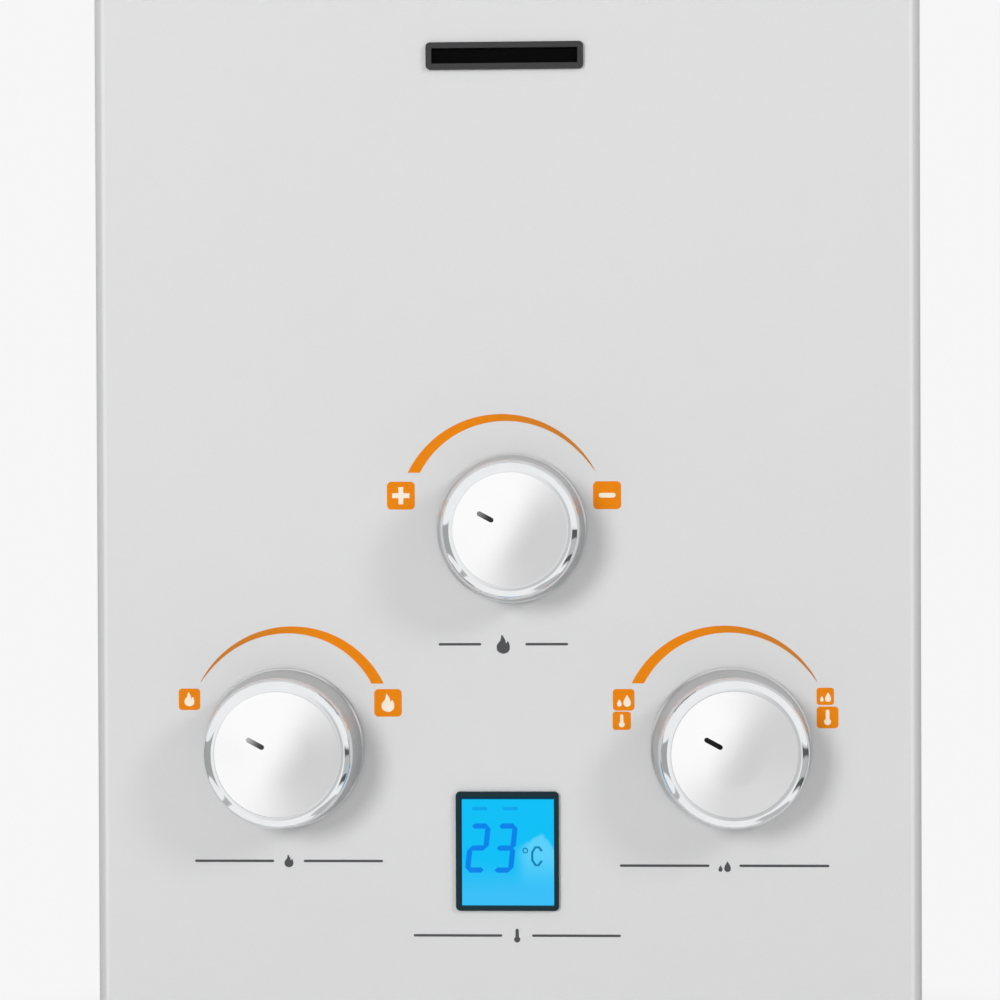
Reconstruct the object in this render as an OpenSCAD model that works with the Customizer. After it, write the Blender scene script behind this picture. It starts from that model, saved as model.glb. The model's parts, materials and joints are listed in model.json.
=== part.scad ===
// Wall-hung tankless gas water heater.
// X runs across the front, -Y is the front, +Z is up, and the wall is the plane Y = 0.
// The origin is the middle of the wall face. Places are given with at(x, depth, height):
// depth is measured out from the wall and height up from the bottom edge of the cover.

/* [Case] */
// Height of the cover
case_h = 520; // [510:1:580]
// Room beside the exchanger for the water pipes
side_room = 50; // [47:1:60]
// Room in front of the exchanger for the manifold and the valves
front_room = 49; // [47:1:60]
// Outside radius of the cover's folded edges
edge_r = 4.5; // [3:0.5:8]
// Thickness of the sheet steel
sheet = 1; // [0.8:0.1:1.2]
// Gap between sheet pieces that slide together
slip = 0.3; // [0.2:0.05:0.5]
// Forward turned edge of the back plate
back_edge = 16; // [12:1:20]
// Height of the bottom plate above the cover's bottom edge
floor_z = 6; // [5:0.5:8]

/* [Front layout] */
// Distance of the gas and water knobs from the middle
knob_x = 81; // [77:1:85]
// Height of the gas and water knobs
valve_z = 120.5; // [117:0.5:126]
// Height of the saver knob
saver_z = 200; // [196:1:206]
// Distance of the saver knob to the right of the middle
saver_x = 2; // [0:0.5:4]
// Height of the display's middle
display_z = 83; // [80:0.5:86]
// Height of the flame sight slot's middle
slot_z = 371; // [365:1:376]

/* [Knobs] */
// Radius of the skirt of the gas and water knobs
side_knob_r = 29; // [26:0.5:32]
// Radius of the skirt of the saver knob
saver_knob_r = 27; // [24:0.5:30]
// Height of a knob above the panel
knob_h = 23.5; // [20:0.5:28]
// Gap between a knob and the panel
knob_gap = 0.8; // [0.5:0.1:1.5]
// Radius of the rounded chrome edge round the cap
bevel_r = 4.2; // [3:0.1:5]
// Rise of the cap's shallow cone
cap_rise = 1.4; // [0.8:0.1:2]
// Direction of the pointers at rest, in degrees
pointer_angle = 152; // [140:1:165]
// Radius of a spindle
spindle_r = 4; // [3:0.25:4.5]
// Radial clearance of turning and sliding shafts
running_fit = 0.05; // [0.02:0.01:0.1]

/* [Display and sight slot] */
// Width of the display bezel
display_w = 37.4; // [34:0.2:42]
// Height of the display bezel
display_h = 43.2; // [40:0.2:48]
// Width of the display bezel's border
display_border = 1.8; // [1.4:0.1:2.4]
// Width of the sight slot's bezel
slot_w = 57; // [50:0.5:64]
// Height of the sight slot's bezel
slot_h = 9.8; // [8.8:0.1:12]
// Width of the sight slot's border
slot_border = 2.1; // [1.6:0.1:2.4]

/* [Heat exchanger] */
// Width of the burner and the exchanger
core_w = 200; // [196:1:206]
// Depth of the burner and the exchanger
core_d = 96; // [92:1:98]
// Gap from the wall to the exchanger
core_back = 20; // [19:0.5:22]
// Height of the exchanger shell
core_h = 149; // [140:1:155]
// Radius of the water tube
tube_r = 6; // [5:0.25:6.5]
// Bend radius of the tube's wrap round the shell
wrap_bend = 18; // [15:1:20]
// Distance between the tube's runs through the fins
run_pitch = 22; // [21:0.5:23]
// Number of fins
fin_count = 26; // [12:1:34]
// Thickness of a fin
fin_t = 0.8; // [0.5:0.1:1]

/* [Burner] */
// Number of burner bars
bar_count = 8; // [6:1:8]
// Distance between burner bars
bar_pitch = 22; // [20:0.5:23]
// Height from the injectors to the top of the burner frame
burner_h = 85; // [82:1:90]
// Radius of a bar's mixing tube
mixer_r = 6.5; // [6:0.25:7]

/* [Connections] */
// Radius of a G1/2 pipe thread
thread_r = 10.48; // [10.4:0.01:10.6]
// Length of a pipe thread
thread_l = 18; // [14:1:22]
// Size across the flats of a fitting's hexagon
fitting_af = 30; // [27:1:32]
// Outside radius of the flue collar
flue_r = 50; // [45:1:55]
// Height of the flue collar above the cover
flue_up = 30; // [24:1:50]
// Sideways distance of the wall screws from the middle
wall_screw_x = 90; // [80:1:100]
// Distance of the wall screws from the cover's top and bottom edges
wall_screw_in = 36; // [30:1:50]

/* [Valves] */
// Travel of the water-to-gas linkage
link_travel = 5; // [3:0.5:5]
// Radius of the linkage rod
link_r = 3; // [2.5:0.25:3.5]
// Radius of the diaphragm housing
diaphragm_r = 34; // [30:0.5:35]
// Turns of the return spring
spring_turns = 7; // [5:1:8]

/* [Battery box] */
// Radius of a D cell
cell_r = 17; // [16:0.1:17.1]
// Length of a D cell
cell_l = 61.5; // [58:0.5:62]
// Wall of the battery box
box_wall = 1.8; // [1.4:0.1:2.2]

/* [Hidden] */
$fn = 64;
case_w = core_w + 2 * side_room;
case_d = core_back + core_d + front_room;
z_bottom = -case_h / 2;
front_in = case_d - sheet;
shell_half = case_w / 2 - sheet;
tray_half = shell_half - slip;
lip = 16;

// Depths, out from the wall
core_front = core_back + core_d;
core_mid = core_back + core_d / 2;
wrap_d = [core_back - tube_r - 1, core_front + tube_r + 1];
valve_d = wrap_d[1];
mani_back = core_front + 16;
mani_front = mani_back + 18;

// Heights, up from the cover's bottom edge
burner_z = saver_z - 10;
core_z = saver_z + burner_h;
core_top = core_z + core_h;
outlet_z = core_z + core_h / 2;
run_z = core_top - 21;
wrap_z = [core_z + 23, core_z + 23 + 2 * wrap_bend];
hood_top = case_h - 20;
plate_z = case_h - sheet - slip - sheet;
mani_z = [saver_z - 10, saver_z + 10];

// Sideways places
half_core = core_w / 2;
shell_t = 1;
core_r = wrap_bend - tube_r - 1;
wrap_x = half_core + tube_r + 1;
rise_x = half_core + 18;
hot_pipe_x = -(rise_x + 2 * tube_r + 2);
gas_x = -(knob_x - 25);
cold_x = knob_x;
hot_x = hot_pipe_x + 20;
gas_left = -(knob_x + 30);
gas_right = -(knob_x - 42);
water_left = knob_x - 42;
leg_x = gas_right - 27;
box_x = (gas_x + cold_x) / 2;

// Water valve and linkage, from right to left
seal_t = 2;
seal_left = water_left - seal_t;
cover_left = seal_left - link_travel - 7;
gland_left = cover_left - 10;
link_x = (gas_right + cover_left) / 2 + 4;
stop_t = 3;
spring_seat = gas_right + 8;

// Knobs
hub_r = spindle_r + 4;
cap_t = 1.6;
lid_t = 1.4;

// Battery box
cell_gap = 0.3;
box_in_w = 4 * cell_r + 3 * cell_gap;
box_in_d = cell_l + 2.5;
box_d = [core_mid + 4, core_mid + 4 + box_in_d];
rim = 6;
rim_t = 1.5;
door_t = 2.4;
pin_r = 1.2;
knuckle_r = 2.2;
pin_d = box_d[0] - 3.5;
pin_z = floor_z - rim_t - slip - knuckle_r - 0.1;

// Places a child at x across, d out from the wall and z above the bottom edge.
module at(x, d, z) translate([x, -d, z_bottom + z]) children();

// Places a child on the cover's face, with its own Z pointing out of the panel.
module on_panel(x, z) at(x, case_d, z) rotate([90, 0, 0]) children();

// A box and round bars between the given ranges.
module block(x, d, z) at(x[0], d[1], z[0]) cube([x[1] - x[0], d[1] - d[0], z[1] - z[0]]);
module bar_x(r, x, d, z) at(x[0], d, z) rotate([0, 90, 0]) cylinder(r = r, h = x[1] - x[0]);
module bar_y(r, x, d, z) at(x, d[1], z) rotate([-90, 0, 0]) cylinder(r = r, h = d[1] - d[0]);
module bar_z(r, x, d, z) at(x, d, z[0]) cylinder(r = r, h = z[1] - z[0]);

// A hexagon on an upright axis, by its size across the flats.
module hex_z(af, x, d, z) at(x, d, z[0]) cylinder(r = af / sqrt(3), h = z[1] - z[0], $fn = 6);

// A flat rectangle with round corners, centred.
module round_rect(w, h, r) {
    square([w - 2 * r, h], center = true);
    square([w, h - 2 * r], center = true);
    for (sx = [-1, 1], sy = [-1, 1])
        translate([sx * (w / 2 - r), sy * (h / 2 - r)]) circle(r = r);
}

// A slot with round ends, lying along X and centred.
module slot_shape(l, w) {
    square([l - w, w], center = true);
    for (s = [-1, 1]) translate([s * (l - w) / 2, 0]) circle(r = w / 2);
}

// A round tube or wire through the corners [x, depth, height, bend radius].
function point(c) = [c[0], -c[1], z_bottom + c[2]];
function unit(v) = v / norm(v);
function heading(route, i) = unit(point(route[i + 1]) - point(route[i]));
function turn(route, i) = acos(heading(route, i - 1) * heading(route, i));
function setback(route, i) =
    i == 0 || i == len(route) - 1 ? 0 : route[i][3] * tan(turn(route, i) / 2);
module frame_at(p, ax, ay, az)
    multmatrix([[ax[0], ay[0], az[0], p[0]], [ax[1], ay[1], az[1], p[1]],
                [ax[2], ay[2], az[2], p[2]]])
    children();
module straight_run(route, i, r) {
    u = heading(route, i);
    from = point(route[i]) + u * setback(route, i);
    l = norm(point(route[i + 1]) - from) - setback(route, i + 1);
    across = unit(cross(u, abs(u[2]) < 0.9 ? [0, 0, 1] : [1, 0, 0]));
    if (l > 0.01) frame_at(from, across, cross(u, across), u) cylinder(r = r, h = l);
}
module elbow(route, i, r) {
    u = heading(route, i - 1);
    v = heading(route, i);
    inward = unit(v - u * (u * v));
    centre = point(route[i]) - u * setback(route, i) + inward * route[i][3];
    frame_at(centre, -inward, u, cross(u, inward))
        rotate_extrude(angle = turn(route, i)) translate([route[i][3], 0]) circle(r = r);
}
module bent_tube(route, r) {
    for (i = [0 : len(route) - 2]) straight_run(route, i, r);
    for (i = [1 : len(route) - 2]) elbow(route, i, r);
}

// Outline of a folded box: a runs across, the front two corners are round.
module folded_outline(a, d, r) {
    translate([a[0], -(d[1] - r)]) square([a[1] - a[0], d[1] - r - d[0]]);
    translate([a[0] + r, -d[1]]) square([a[1] - a[0] - 2 * r, r + 1]);
    for (c = [a[0] + r, a[1] - r]) translate([c, -(d[1] - r)]) circle(r = r);
}
module folded_box(half, d, z, r) {
    intersection() {
        at(0, 0, z[0]) linear_extrude(z[1] - z[0]) folded_outline([-half, half], d, r);
        at(-half, 0, 0) rotate([90, 0, 90]) linear_extrude(2 * half)
            mirror([1, -1, 0]) folded_outline(z, d, r);
    }
}

// Vent slots as seen from the side, rows of them from height z up.
module side_vents(z, rows) {
    for (i = [0 : rows - 1])
        at(-case_w, core_mid, z + i * 11) rotate([90, 0, 90]) linear_extrude(2 * case_w)
            slot_shape(48, 4.5);
}
module top_vents() {
    for (s = [-1, 1], i = [0 : 4])
        at(s * (flue_r + 26 + i * 12), core_mid, plate_z - 5) linear_extrude(12)
            rotate(90) slot_shape(72, 4.5);
}
module cover_screw_places() {
    for (s = [0, 1], z = [60, case_h / 2, case_h - 60])
        mirror([s, 0, 0]) at(case_w / 2, back_edge / 2 + 2, z) rotate([0, 90, 0]) children();
}
module foot_screw_places() {
    for (s = [-1, 1]) at(s * (case_w / 2 - 30), case_d - lip / 2 - 3, 0) children();
}

module keyhole(x) {
    bar_y(5, x, [-1, sheet + 1], case_h - wall_screw_in);
    block([x - 2.75, x + 2.75], [-1, sheet + 1], [case_h - wall_screw_in, case_h - wall_screw_in + 10]);
    bar_y(2.75, x, [-1, sheet + 1], case_h - wall_screw_in + 10);
}
// Two beads stiffen the plate: they stand proud inside and leave grooves behind.
bead_z = [150, case_h - 90];
bead_half = 70;
module back_plate() color("Silver") difference() {
    z = [sheet + slip, case_h - sheet - slip];
    union() {
        block([-tray_half, tray_half], [0, sheet], z);
        for (s = [0, 1]) mirror([s, 0, 0])
            block([tray_half - sheet, tray_half], [0, back_edge], z);
        block([-tray_half, tray_half], [0, back_edge], [z[1] - sheet, z[1]]);
        block([-tray_half, tray_half], [0, back_edge], [z[0], z[0] + sheet]);
        for (h = bead_z) bar_x(2 + sheet, [-bead_half, bead_half], sheet, h);
    }
    for (h = bead_z) bar_x(2, [-bead_half + sheet, bead_half - sheet], sheet, h);
    block([-bead_half - 1, bead_half + 1], [-6, 0], [bead_z[0] - 9, bead_z[1] + 9]);
    for (s = [-1, 1]) {
        keyhole(s * wall_screw_x);
        bar_y(3, s * wall_screw_x, [-1, sheet + 1], wall_screw_in);
    }
    cover_screw_places() translate([0, 0, -10]) cylinder(r = 1.9, h = 12);
}

module front_cover() color("Gainsboro") difference() {
    folded_box(case_w / 2, [2, case_d], [0, case_h], edge_r);
    folded_box(shell_half, [0, front_in], [sheet, case_h - sheet], edge_r - sheet);
    block([-shell_half + lip, shell_half - lip], [0, case_d - lip], [-1, sheet + 1]);
    block([-flue_r - 12, flue_r + 12], [0, core_mid], [case_h - sheet - 1, case_h + 1]);
    bar_z(flue_r + 12, 0, core_mid, [case_h - sheet - 1, case_h + 1]);
    top_vents();
    side_vents(46, 8);
    side_vents(case_h - 190, 8);
    for (s = [-1, 1]) bar_y(spindle_r + 2.5, s * knob_x, [front_in - 1, case_d + 1], valve_z);
    bar_y(spindle_r + 2.5, saver_x, [front_in - 1, case_d + 1], saver_z);
    on_panel(0, display_z) translate([0, 0, -5]) linear_extrude(10)
        square([display_w - 2, display_h - 2], center = true);
    on_panel(0, slot_z) translate([0, 0, -5]) linear_extrude(10)
        square([slot_w - 2, slot_h - 2], center = true);
    cover_screw_places() translate([0, 0, -10]) cylinder(r = 2.1, h = 12);
    foot_screw_places() translate([0, 0, -1]) cylinder(r = 2, h = 4);
}

module top_plate() color("Silver") difference() {
    block([-tray_half + 1.5, tray_half - 1.5], [sheet, case_d - lip], [plate_z - sheet, plate_z]);
    bar_z(flue_r + 1.5, 0, core_mid, [plate_z - 5, plate_z + 5]);
    top_vents();
}

module bottom_plate() color("Silver") difference() {
    half = tray_half - 1.5;
    edge = case_d - 6;
    union() {
        block([-half, half], [sheet, edge], [floor_z, floor_z + sheet]);
        block([-half, half], [edge - sheet, edge], [sheet, floor_z + sheet]);
        block([-half, half], [edge - 12, edge], [sheet, 2 * sheet]);
    }
    for (x = [gas_x, cold_x, hot_x]) bar_z(thread_r + 0.2, x, valve_d, [floor_z - 1, floor_z + 4]);
    block([box_x - box_in_w / 2 - box_wall - slip, box_x + box_in_w / 2 + box_wall + slip],
          [box_d[0] - box_wall - slip, box_d[1] + box_wall + slip], [floor_z - 1, floor_z + 4]);
    for (s = [-1, 1], i = [0 : 4])
        at(s * (30 + i * 20), core_mid - 28, floor_z - 1) linear_extrude(5)
            rotate(90) slot_shape(40, 5);
    foot_screw_places() cylinder(r = 1.9, h = 5);
}

module cover_screws() color("LightGray") {
    cover_screw_places() {
        cylinder(r1 = 4, r2 = 3.2, h = 2);
        translate([0, 0, -7]) cylinder(r = 1.8, h = 7);
    }
    foot_screw_places() {
        translate([0, 0, -2]) cylinder(r1 = 3, r2 = 3.6, h = 2);
        cylinder(r = 1.8, h = 4);
    }
}

module support_brackets() color("DarkGray") for (s = [0, 1]) mirror([s, 0, 0]) {
    z = [core_z - 70, core_z - 10];
    block([half_core, half_core + 1.5], [sheet, core_front - 16], z);
    block([half_core, half_core + 18], [sheet, sheet + 1.5], z);
}

module valve_bracket() color("DarkGray") {
    x = -knob_x - 10;
    z = [valve_z - 14, valve_z + 14];
    block([x, x + 1.5], [sheet, valve_d - 24], z);
    block([x, x + 20], [sheet, sheet + 1.5], z);
    block([x, x + 20], [valve_d - 25.5, valve_d - 24], z);
}

module flue_collar() color("LightGray") difference() {
    union() {
        bar_z(flue_r, 0, core_mid, [hood_top, case_h + flue_up]);
        at(0, core_mid, case_h + 3) rotate_extrude() translate([flue_r - 0.4, 0]) circle(r = 1.6);
    }
    bar_z(flue_r - 1.2, 0, core_mid, [hood_top - 1, case_h + flue_up + 1]);
}

module draught_hood() color("LightGray") difference() {
    hull() {
        block([-half_core, half_core], [core_back, core_front], [core_top, core_top + 8]);
        at(0, core_mid, hood_top - 4) cylinder(r = flue_r + 1, h = 4, $fn = 48);
    }
    hull() {
        block([-half_core + 1, half_core - 1], [core_back + 1, core_front - 1],
              [core_top - 1, core_top + 7.5]);
        at(0, core_mid, hood_top - 5) cylinder(r = flue_r - 1, h = 6, $fn = 48);
    }
}

function run_d(i) = core_mid + (1.5 - i) * run_pitch;
module exchanger_shell() color("Peru") difference() {
    at(0, core_mid, core_z) linear_extrude(core_h) round_rect(core_w, core_d, core_r);
    at(0, core_mid, core_z - 1) linear_extrude(core_h + 2)
        round_rect(core_w - 2 * shell_t, core_d - 2 * shell_t, core_r - shell_t);
    for (i = [0 : 3]) bar_x(tube_r + 0.2, [-half_core - 1, half_core + 1], run_d(i), run_z);
    block([-30, 30], [core_front - 2, core_front + 1], [slot_z - 6, slot_z + 6]);
    for (s = [-1, 1]) bar_y(4.6, s * 1.5 * bar_pitch, [core_front - 2, core_front + 1], core_z + 6);
}

module exchanger_fins() color("Chocolate") {
    step = (core_w - 2 * core_r - 4) / (fin_count - 1);
    for (i = [0 : fin_count - 1])
        at(-half_core + core_r + 2 + i * step - fin_t / 2, 0, 0) rotate([90, 0, 90]) linear_extrude(fin_t)
            difference() {
                translate([-core_front + 1.2, core_top - 41]) square([core_d - 2.4, 40]);
                for (k = [0 : 3]) translate([-run_d(k), run_z]) circle(r = tube_r + 0.1);
            }
}

// The wrap climbs round the shell twice, then the tube runs four times through the fins.
tube_route = [
    [wrap_x, wrap_d[1], core_z - 35, 0],
    [wrap_x, wrap_d[1], wrap_z[0], wrap_bend],
    [wrap_x, wrap_d[0], wrap_z[0], wrap_bend],
    [-wrap_x, wrap_d[0], wrap_z[0], wrap_bend],
    [-wrap_x, wrap_d[1], wrap_z[0], wrap_bend],
    [0, wrap_d[1], wrap_z[0], wrap_bend],
    [0, wrap_d[1], wrap_z[1], wrap_bend],
    [wrap_x, wrap_d[1], wrap_z[1], wrap_bend],
    [wrap_x, wrap_d[0], wrap_z[1], wrap_bend],
    [-rise_x, wrap_d[0], wrap_z[1], wrap_bend],
    [-rise_x, run_d(0), wrap_z[1], wrap_bend],
    [-rise_x, run_d(0), run_z, run_pitch / 2],
    [rise_x, run_d(0), run_z, run_pitch / 2],
    [rise_x, run_d(1), run_z, run_pitch / 2],
    [-rise_x, run_d(1), run_z, run_pitch / 2],
    [-rise_x, run_d(2), run_z, run_pitch / 2],
    [rise_x, run_d(2), run_z, run_pitch / 2],
    [rise_x, run_d(3), run_z, run_pitch / 2],
    [hot_pipe_x, run_d(3), run_z, run_pitch / 2],
    [hot_pipe_x, run_d(3), outlet_z, 0]];
module exchanger_tube() color("SandyBrown") bent_tube(tube_route, tube_r);

module view_pane() color("LightYellow")
    block([-36, 36], [core_front, core_front + 0.8], [slot_z - 10, slot_z + 10]);

function bar_place(i) = (i - (bar_count - 1) / 2) * bar_pitch;
module burner_frame() color("LightSlateGray") {
    difference() {
        block([-half_core, half_core], [core_back, core_front], [burner_z, core_z]);
        block([-half_core + 1.2, half_core - 1.2], [core_back + 1.2, core_front - 1.2],
              [burner_z - 1, core_z + 1]);
        for (i = [0 : bar_count - 1])
            bar_y(mixer_r + 1, bar_place(i), [core_front - 3, core_front + 1], saver_z);
    }
    for (d = [core_back + 8, core_front - 14])
        block([-half_core + 1, half_core - 1], [d, d + 6], [burner_z, saver_z - mixer_r - 0.1]);
}

module bar_outline() {
    top = burner_h - 2;
    circle(r = mixer_r);
    translate([-2, 0]) square([4, top - 35]);
    polygon([[-2, top - 48], [2, top - 48], [7, top - 35], [7, top], [-7, top], [-7, top - 35]]);
}
module burner_bars() color("SteelBlue") difference() {
    d = [core_back + 1.6, core_front - 1.6];
    for (i = [0 : bar_count - 1])
        at(bar_place(i), d[0], saver_z) rotate([90, 0, 0]) linear_extrude(d[1] - d[0]) bar_outline();
    for (i = [0 : bar_count - 1]) bar_y(4.5, bar_place(i), [core_mid, core_front + 1], saver_z);
    for (i = [0 : 9])
        block([-half_core, half_core], [d[0] + 5 + i * 9, d[0] + 7 + i * 9], [core_z - 9, core_z + 1]);
}

module gas_manifold() color("Silver") difference() {
    union() {
        block([-half_core + 14, half_core - 14], [mani_back, mani_front], mani_z);
        for (s = [0, 1]) mirror([s, 0, 0])
            bar_z(9, half_core - 14, (mani_back + mani_front) / 2, mani_z);
        bar_z(9, leg_x, mani_back + 4, [valve_z + 22, mani_z[0] + 5]);
        block([leg_x - 20, leg_x + 20], [mani_back - 12, mani_back + 14], [valve_z + 22, valve_z + 26]);
    }
    bar_y(spindle_r + running_fit, saver_x, [mani_back + 5, mani_front + 1], saver_z);
}

module saver_valve() color("Goldenrod") difference() {
    d = [mani_front, front_in - 6];
    union() {
        bar_y(12, saver_x, [d[0], d[0] + 4], saver_z);
        at(saver_x, d[1], saver_z) rotate([-90, 0, 0]) cylinder(r = 9, h = d[1] - d[0], $fn = 6);
    }
    bar_y(spindle_r + running_fit, saver_x, [d[0] - 1, d[1] + 1], saver_z);
}

module injectors() color("Goldenrod") for (i = [0 : bar_count - 1]) {
    at(bar_place(i), mani_back, saver_z) rotate([-90, 0, 0]) {
        cylinder(r = 5, h = 5, $fn = 6);
        cylinder(r1 = 4, r2 = 1.8, h = 12);
    }
}

module gas_valve() color("LightGray") difference() {
    union() {
        bar_x(20, [gas_left, gas_right], valve_d, valve_z);
        bar_x(25, [gas_right - 6, gas_right], valve_d, valve_z);
        bar_x(8, [gas_right, gas_right + 8], valve_d, valve_z);
        bar_z(13, gas_x, valve_d, [valve_z - 22, valve_z]);
        bar_y(15, -knob_x, [valve_d, case_d - 11], valve_z);
        block([leg_x - 20, leg_x + 20], [mani_back - 12, mani_back + 14], [valve_z, valve_z + 22]);
        block([-knob_x - 10, -knob_x + 10], [valve_d - 24, valve_d], [valve_z - 14, valve_z + 14]);
    }
    bar_y(spindle_r + running_fit, -knob_x, [valve_d + 8, case_d], valve_z);
    bar_x(link_r + running_fit, [gas_right - link_travel - 17, gas_right + 9], valve_d, valve_z);
}

module gas_solenoid() color("DimGray") {
    end = -case_w / 2 + 7;
    bar_x(14, [end + 7, gas_left], valve_d, valve_z);
    bar_x(10, [end, gas_left], valve_d, valve_z);
}

module gas_pipe() color("SandyBrown")
    bar_z(9, gas_x, valve_d, [floor_z + 22, valve_z - 22]);

// A pipe fitting: thread below, hexagon against the bottom plate, neck up to height top.
module fitting(x, top) color("Goldenrod") difference() {
    union() {
        bar_z(thread_r, x, valve_d, [floor_z - 8 - thread_l, floor_z - 4]);
        hex_z(fitting_af, x, valve_d, [floor_z - 8, floor_z]);
        bar_z(thread_r - 0.5, x, valve_d, [floor_z - 4, top]);
    }
    bar_z(7.5, x, valve_d, [floor_z - 9 - thread_l, floor_z + 18]);
}
module gas_inlet() fitting(gas_x, floor_z + 22);
module cold_inlet() fitting(cold_x, floor_z + 34);
module hot_outlet() fitting(hot_x, floor_z + 24);

module seal_screw_places() {
    for (i = [0 : 5]) rotate([30 + i * 60, 0, 0]) translate([0, 0, diaphragm_r - 6]) children();
}
module water_valve() color("Goldenrod") difference() {
    union() {
        bar_z(17, knob_x, valve_d, [valve_z - 28, valve_z + 32]);
        hex_z(24, knob_x, valve_d, [valve_z + 32, valve_z + 40]);
        bar_x(16, [water_left, knob_x], valve_d, valve_z);
        bar_x(diaphragm_r, [water_left, water_left + 10], valve_d, valve_z);
        bar_y(15, knob_x, [valve_d, case_d - 11], valve_z);
        bar_z(11, knob_x, valve_d, [floor_z + 34, valve_z]);
        bar_x(8, [knob_x, knob_x + 14], valve_d, valve_z - 56);
    }
    bar_y(spindle_r + running_fit, knob_x, [valve_d + 13, case_d], valve_z);
    at(water_left - 1, valve_d, valve_z) seal_screw_places()
        rotate([0, 90, 0]) cylinder(r = 2.2, h = 12);
}

module diaphragm() color("DimGray") difference() {
    bar_x(diaphragm_r - 0.5, [seal_left, water_left], valve_d, valve_z);
    at(seal_left - 1, valve_d, valve_z) seal_screw_places()
        rotate([0, 90, 0]) cylinder(r = 2.2, h = 5);
}

module diaphragm_cover() color("Goldenrod") difference() {
    union() {
        bar_x(diaphragm_r, [cover_left, seal_left], valve_d, valve_z);
        bar_x(9, [gland_left, seal_left], valve_d, valve_z);
        for (s = [-1, 1]) bar_x(3.5, [gas_right, cover_left + 1], valve_d + s * 17, valve_z);
    }
    bar_x(diaphragm_r - 12, [seal_left - link_travel - 3, seal_left + 1], valve_d, valve_z);
    bar_x(link_r + running_fit, [gland_left - 1, seal_left], valve_d, valve_z);
    at(cover_left - 1, valve_d, valve_z) seal_screw_places()
        rotate([0, 90, 0]) cylinder(r = 2.2, h = 14);
}

module diaphragm_screws() color("LightGray")
    at(cover_left - 3, valve_d, valve_z) seal_screw_places() rotate([0, 90, 0]) {
        cylinder(r = 4, h = 3);
        cylinder(r = 2, h = 3 + water_left - cover_left + 9);
    }

module linkage_rod() color("LightSteelBlue") {
    bar_x(link_r, [gas_right - 12, seal_left - 1], valve_d, valve_z);
    bar_x(diaphragm_r - 16, [seal_left - 2.6, seal_left - 0.6], valve_d, valve_z);
    bar_x(8, [link_x - stop_t, link_x], valve_d, valve_z);
    block([link_x - stop_t, link_x], [valve_d - 4, valve_d + 4], [valve_z, valve_z + 20]);
}

// Return spring: one wire wound on a helix, drawn as rings of points along it.
wire_r = 0.6;
coil_r = link_r + 2.5;
wire_steps = 12;
wire_sides = 6;
spring_l = link_x - stop_t - spring_seat - 2 * wire_r - 0.4;
function wire_point(i, k) =
    let (a = 360 * i / wire_steps, b = 360 * k / wire_sides, r = coil_r + wire_r * cos(b))
    [spring_l * i / (wire_steps * spring_turns) + wire_r * sin(b), r * cos(a), r * sin(a)];
module return_spring() color("Gray") {
    n = wire_steps * spring_turns;
    rings = [for (i = [0 : n], k = [0 : wire_sides - 1]) wire_point(i, k)];
    sides = [for (i = [0 : n - 1], k = [0 : wire_sides - 1])
        let (a = i * wire_sides + k, b = i * wire_sides + (k + 1) % wire_sides)
        [a, b, b + wire_sides, a + wire_sides]];
    first = [[for (k = [wire_sides - 1 : -1 : 0]) k]];
    last = [[for (k = [0 : wire_sides - 1]) n * wire_sides + k]];
    echo(least_gap_between_turns = spring_l / spring_turns - 2 * wire_r);
    at(spring_seat + wire_r + 0.2, valve_d, valve_z)
        polyhedron(points = rings, faces = concat(sides, first, last));
}

switch_left = link_x + 7;
module micro_switch() color("DimGray") difference() {
    union() {
        block([switch_left, cover_left], [valve_d - 5, valve_d + 5], [valve_z + 10.5, valve_z + 22.5]);
        block([cover_left - 5, cover_left], [valve_d - 9, valve_d + 9], [valve_z + 12, valve_z + 18]);
    }
    bar_x(1.5 + running_fit, [switch_left - 1, switch_left + 9], valve_d, valve_z + 16);
}
module switch_plunger() color("Crimson")
    bar_x(1.5, [link_x + 0.3, switch_left + 6], valve_d, valve_z + 16);

riser_z = valve_z + 54;
riser_bend = 0.4 * (wrap_x - knob_x);
module cold_riser() color("SandyBrown") bent_tube([
    [knob_x, valve_d, valve_z + 40, 0],
    [knob_x, valve_d, riser_z, riser_bend],
    [wrap_x, valve_d, riser_z, riser_bend],
    [wrap_x, valve_d, core_z - 35, 0]], tube_r);

module hot_pipe() color("SandyBrown") bent_tube([
    [hot_pipe_x, run_d(3), outlet_z, 0],
    [hot_pipe_x, run_d(3), floor_z + 56, 16],
    [hot_pipe_x, valve_d, floor_z + 56, (hot_x - hot_pipe_x) / 2],
    [hot_x, valve_d, floor_z + 56, (hot_x - hot_pipe_x) / 2],
    [hot_x, valve_d, floor_z + 24, 0]], tube_r);

// Union nuts round the tube joints, then gland nuts round the two valve spindles.
module union_nut(x, d, z) difference() {
    hex_z(2 * tube_r + 4, x, d, [z - 7, z + 7]);
    bar_z(tube_r + 0.1, x, d, [z - 8, z + 8]);
}
module gland_nut(x) difference() {
    at(x, case_d - 6, valve_z) rotate([-90, 0, 0]) cylinder(r = 10, h = 5, $fn = 6);
    bar_y(spindle_r + 0.3, x, [case_d - 12, case_d], valve_z);
}
module brass_nuts() color("Goldenrod") {
    union_nut(wrap_x, wrap_d[1], core_z - 35);
    union_nut(hot_pipe_x, run_d(3), outlet_z);
    for (s = [-1, 1]) gland_nut(s * knob_x);
}

module drain_valve() color("Goldenrod") {
    at(knob_x + 14, valve_d, valve_z - 56) rotate([0, 90, 0]) {
        cylinder(r = 9, h = 7, $fn = 6);
        cylinder(r = 6, h = 12);
        translate([0, 0, 11]) cylinder(r1 = 7, r2 = 6, h = 8);
    }
}

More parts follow.
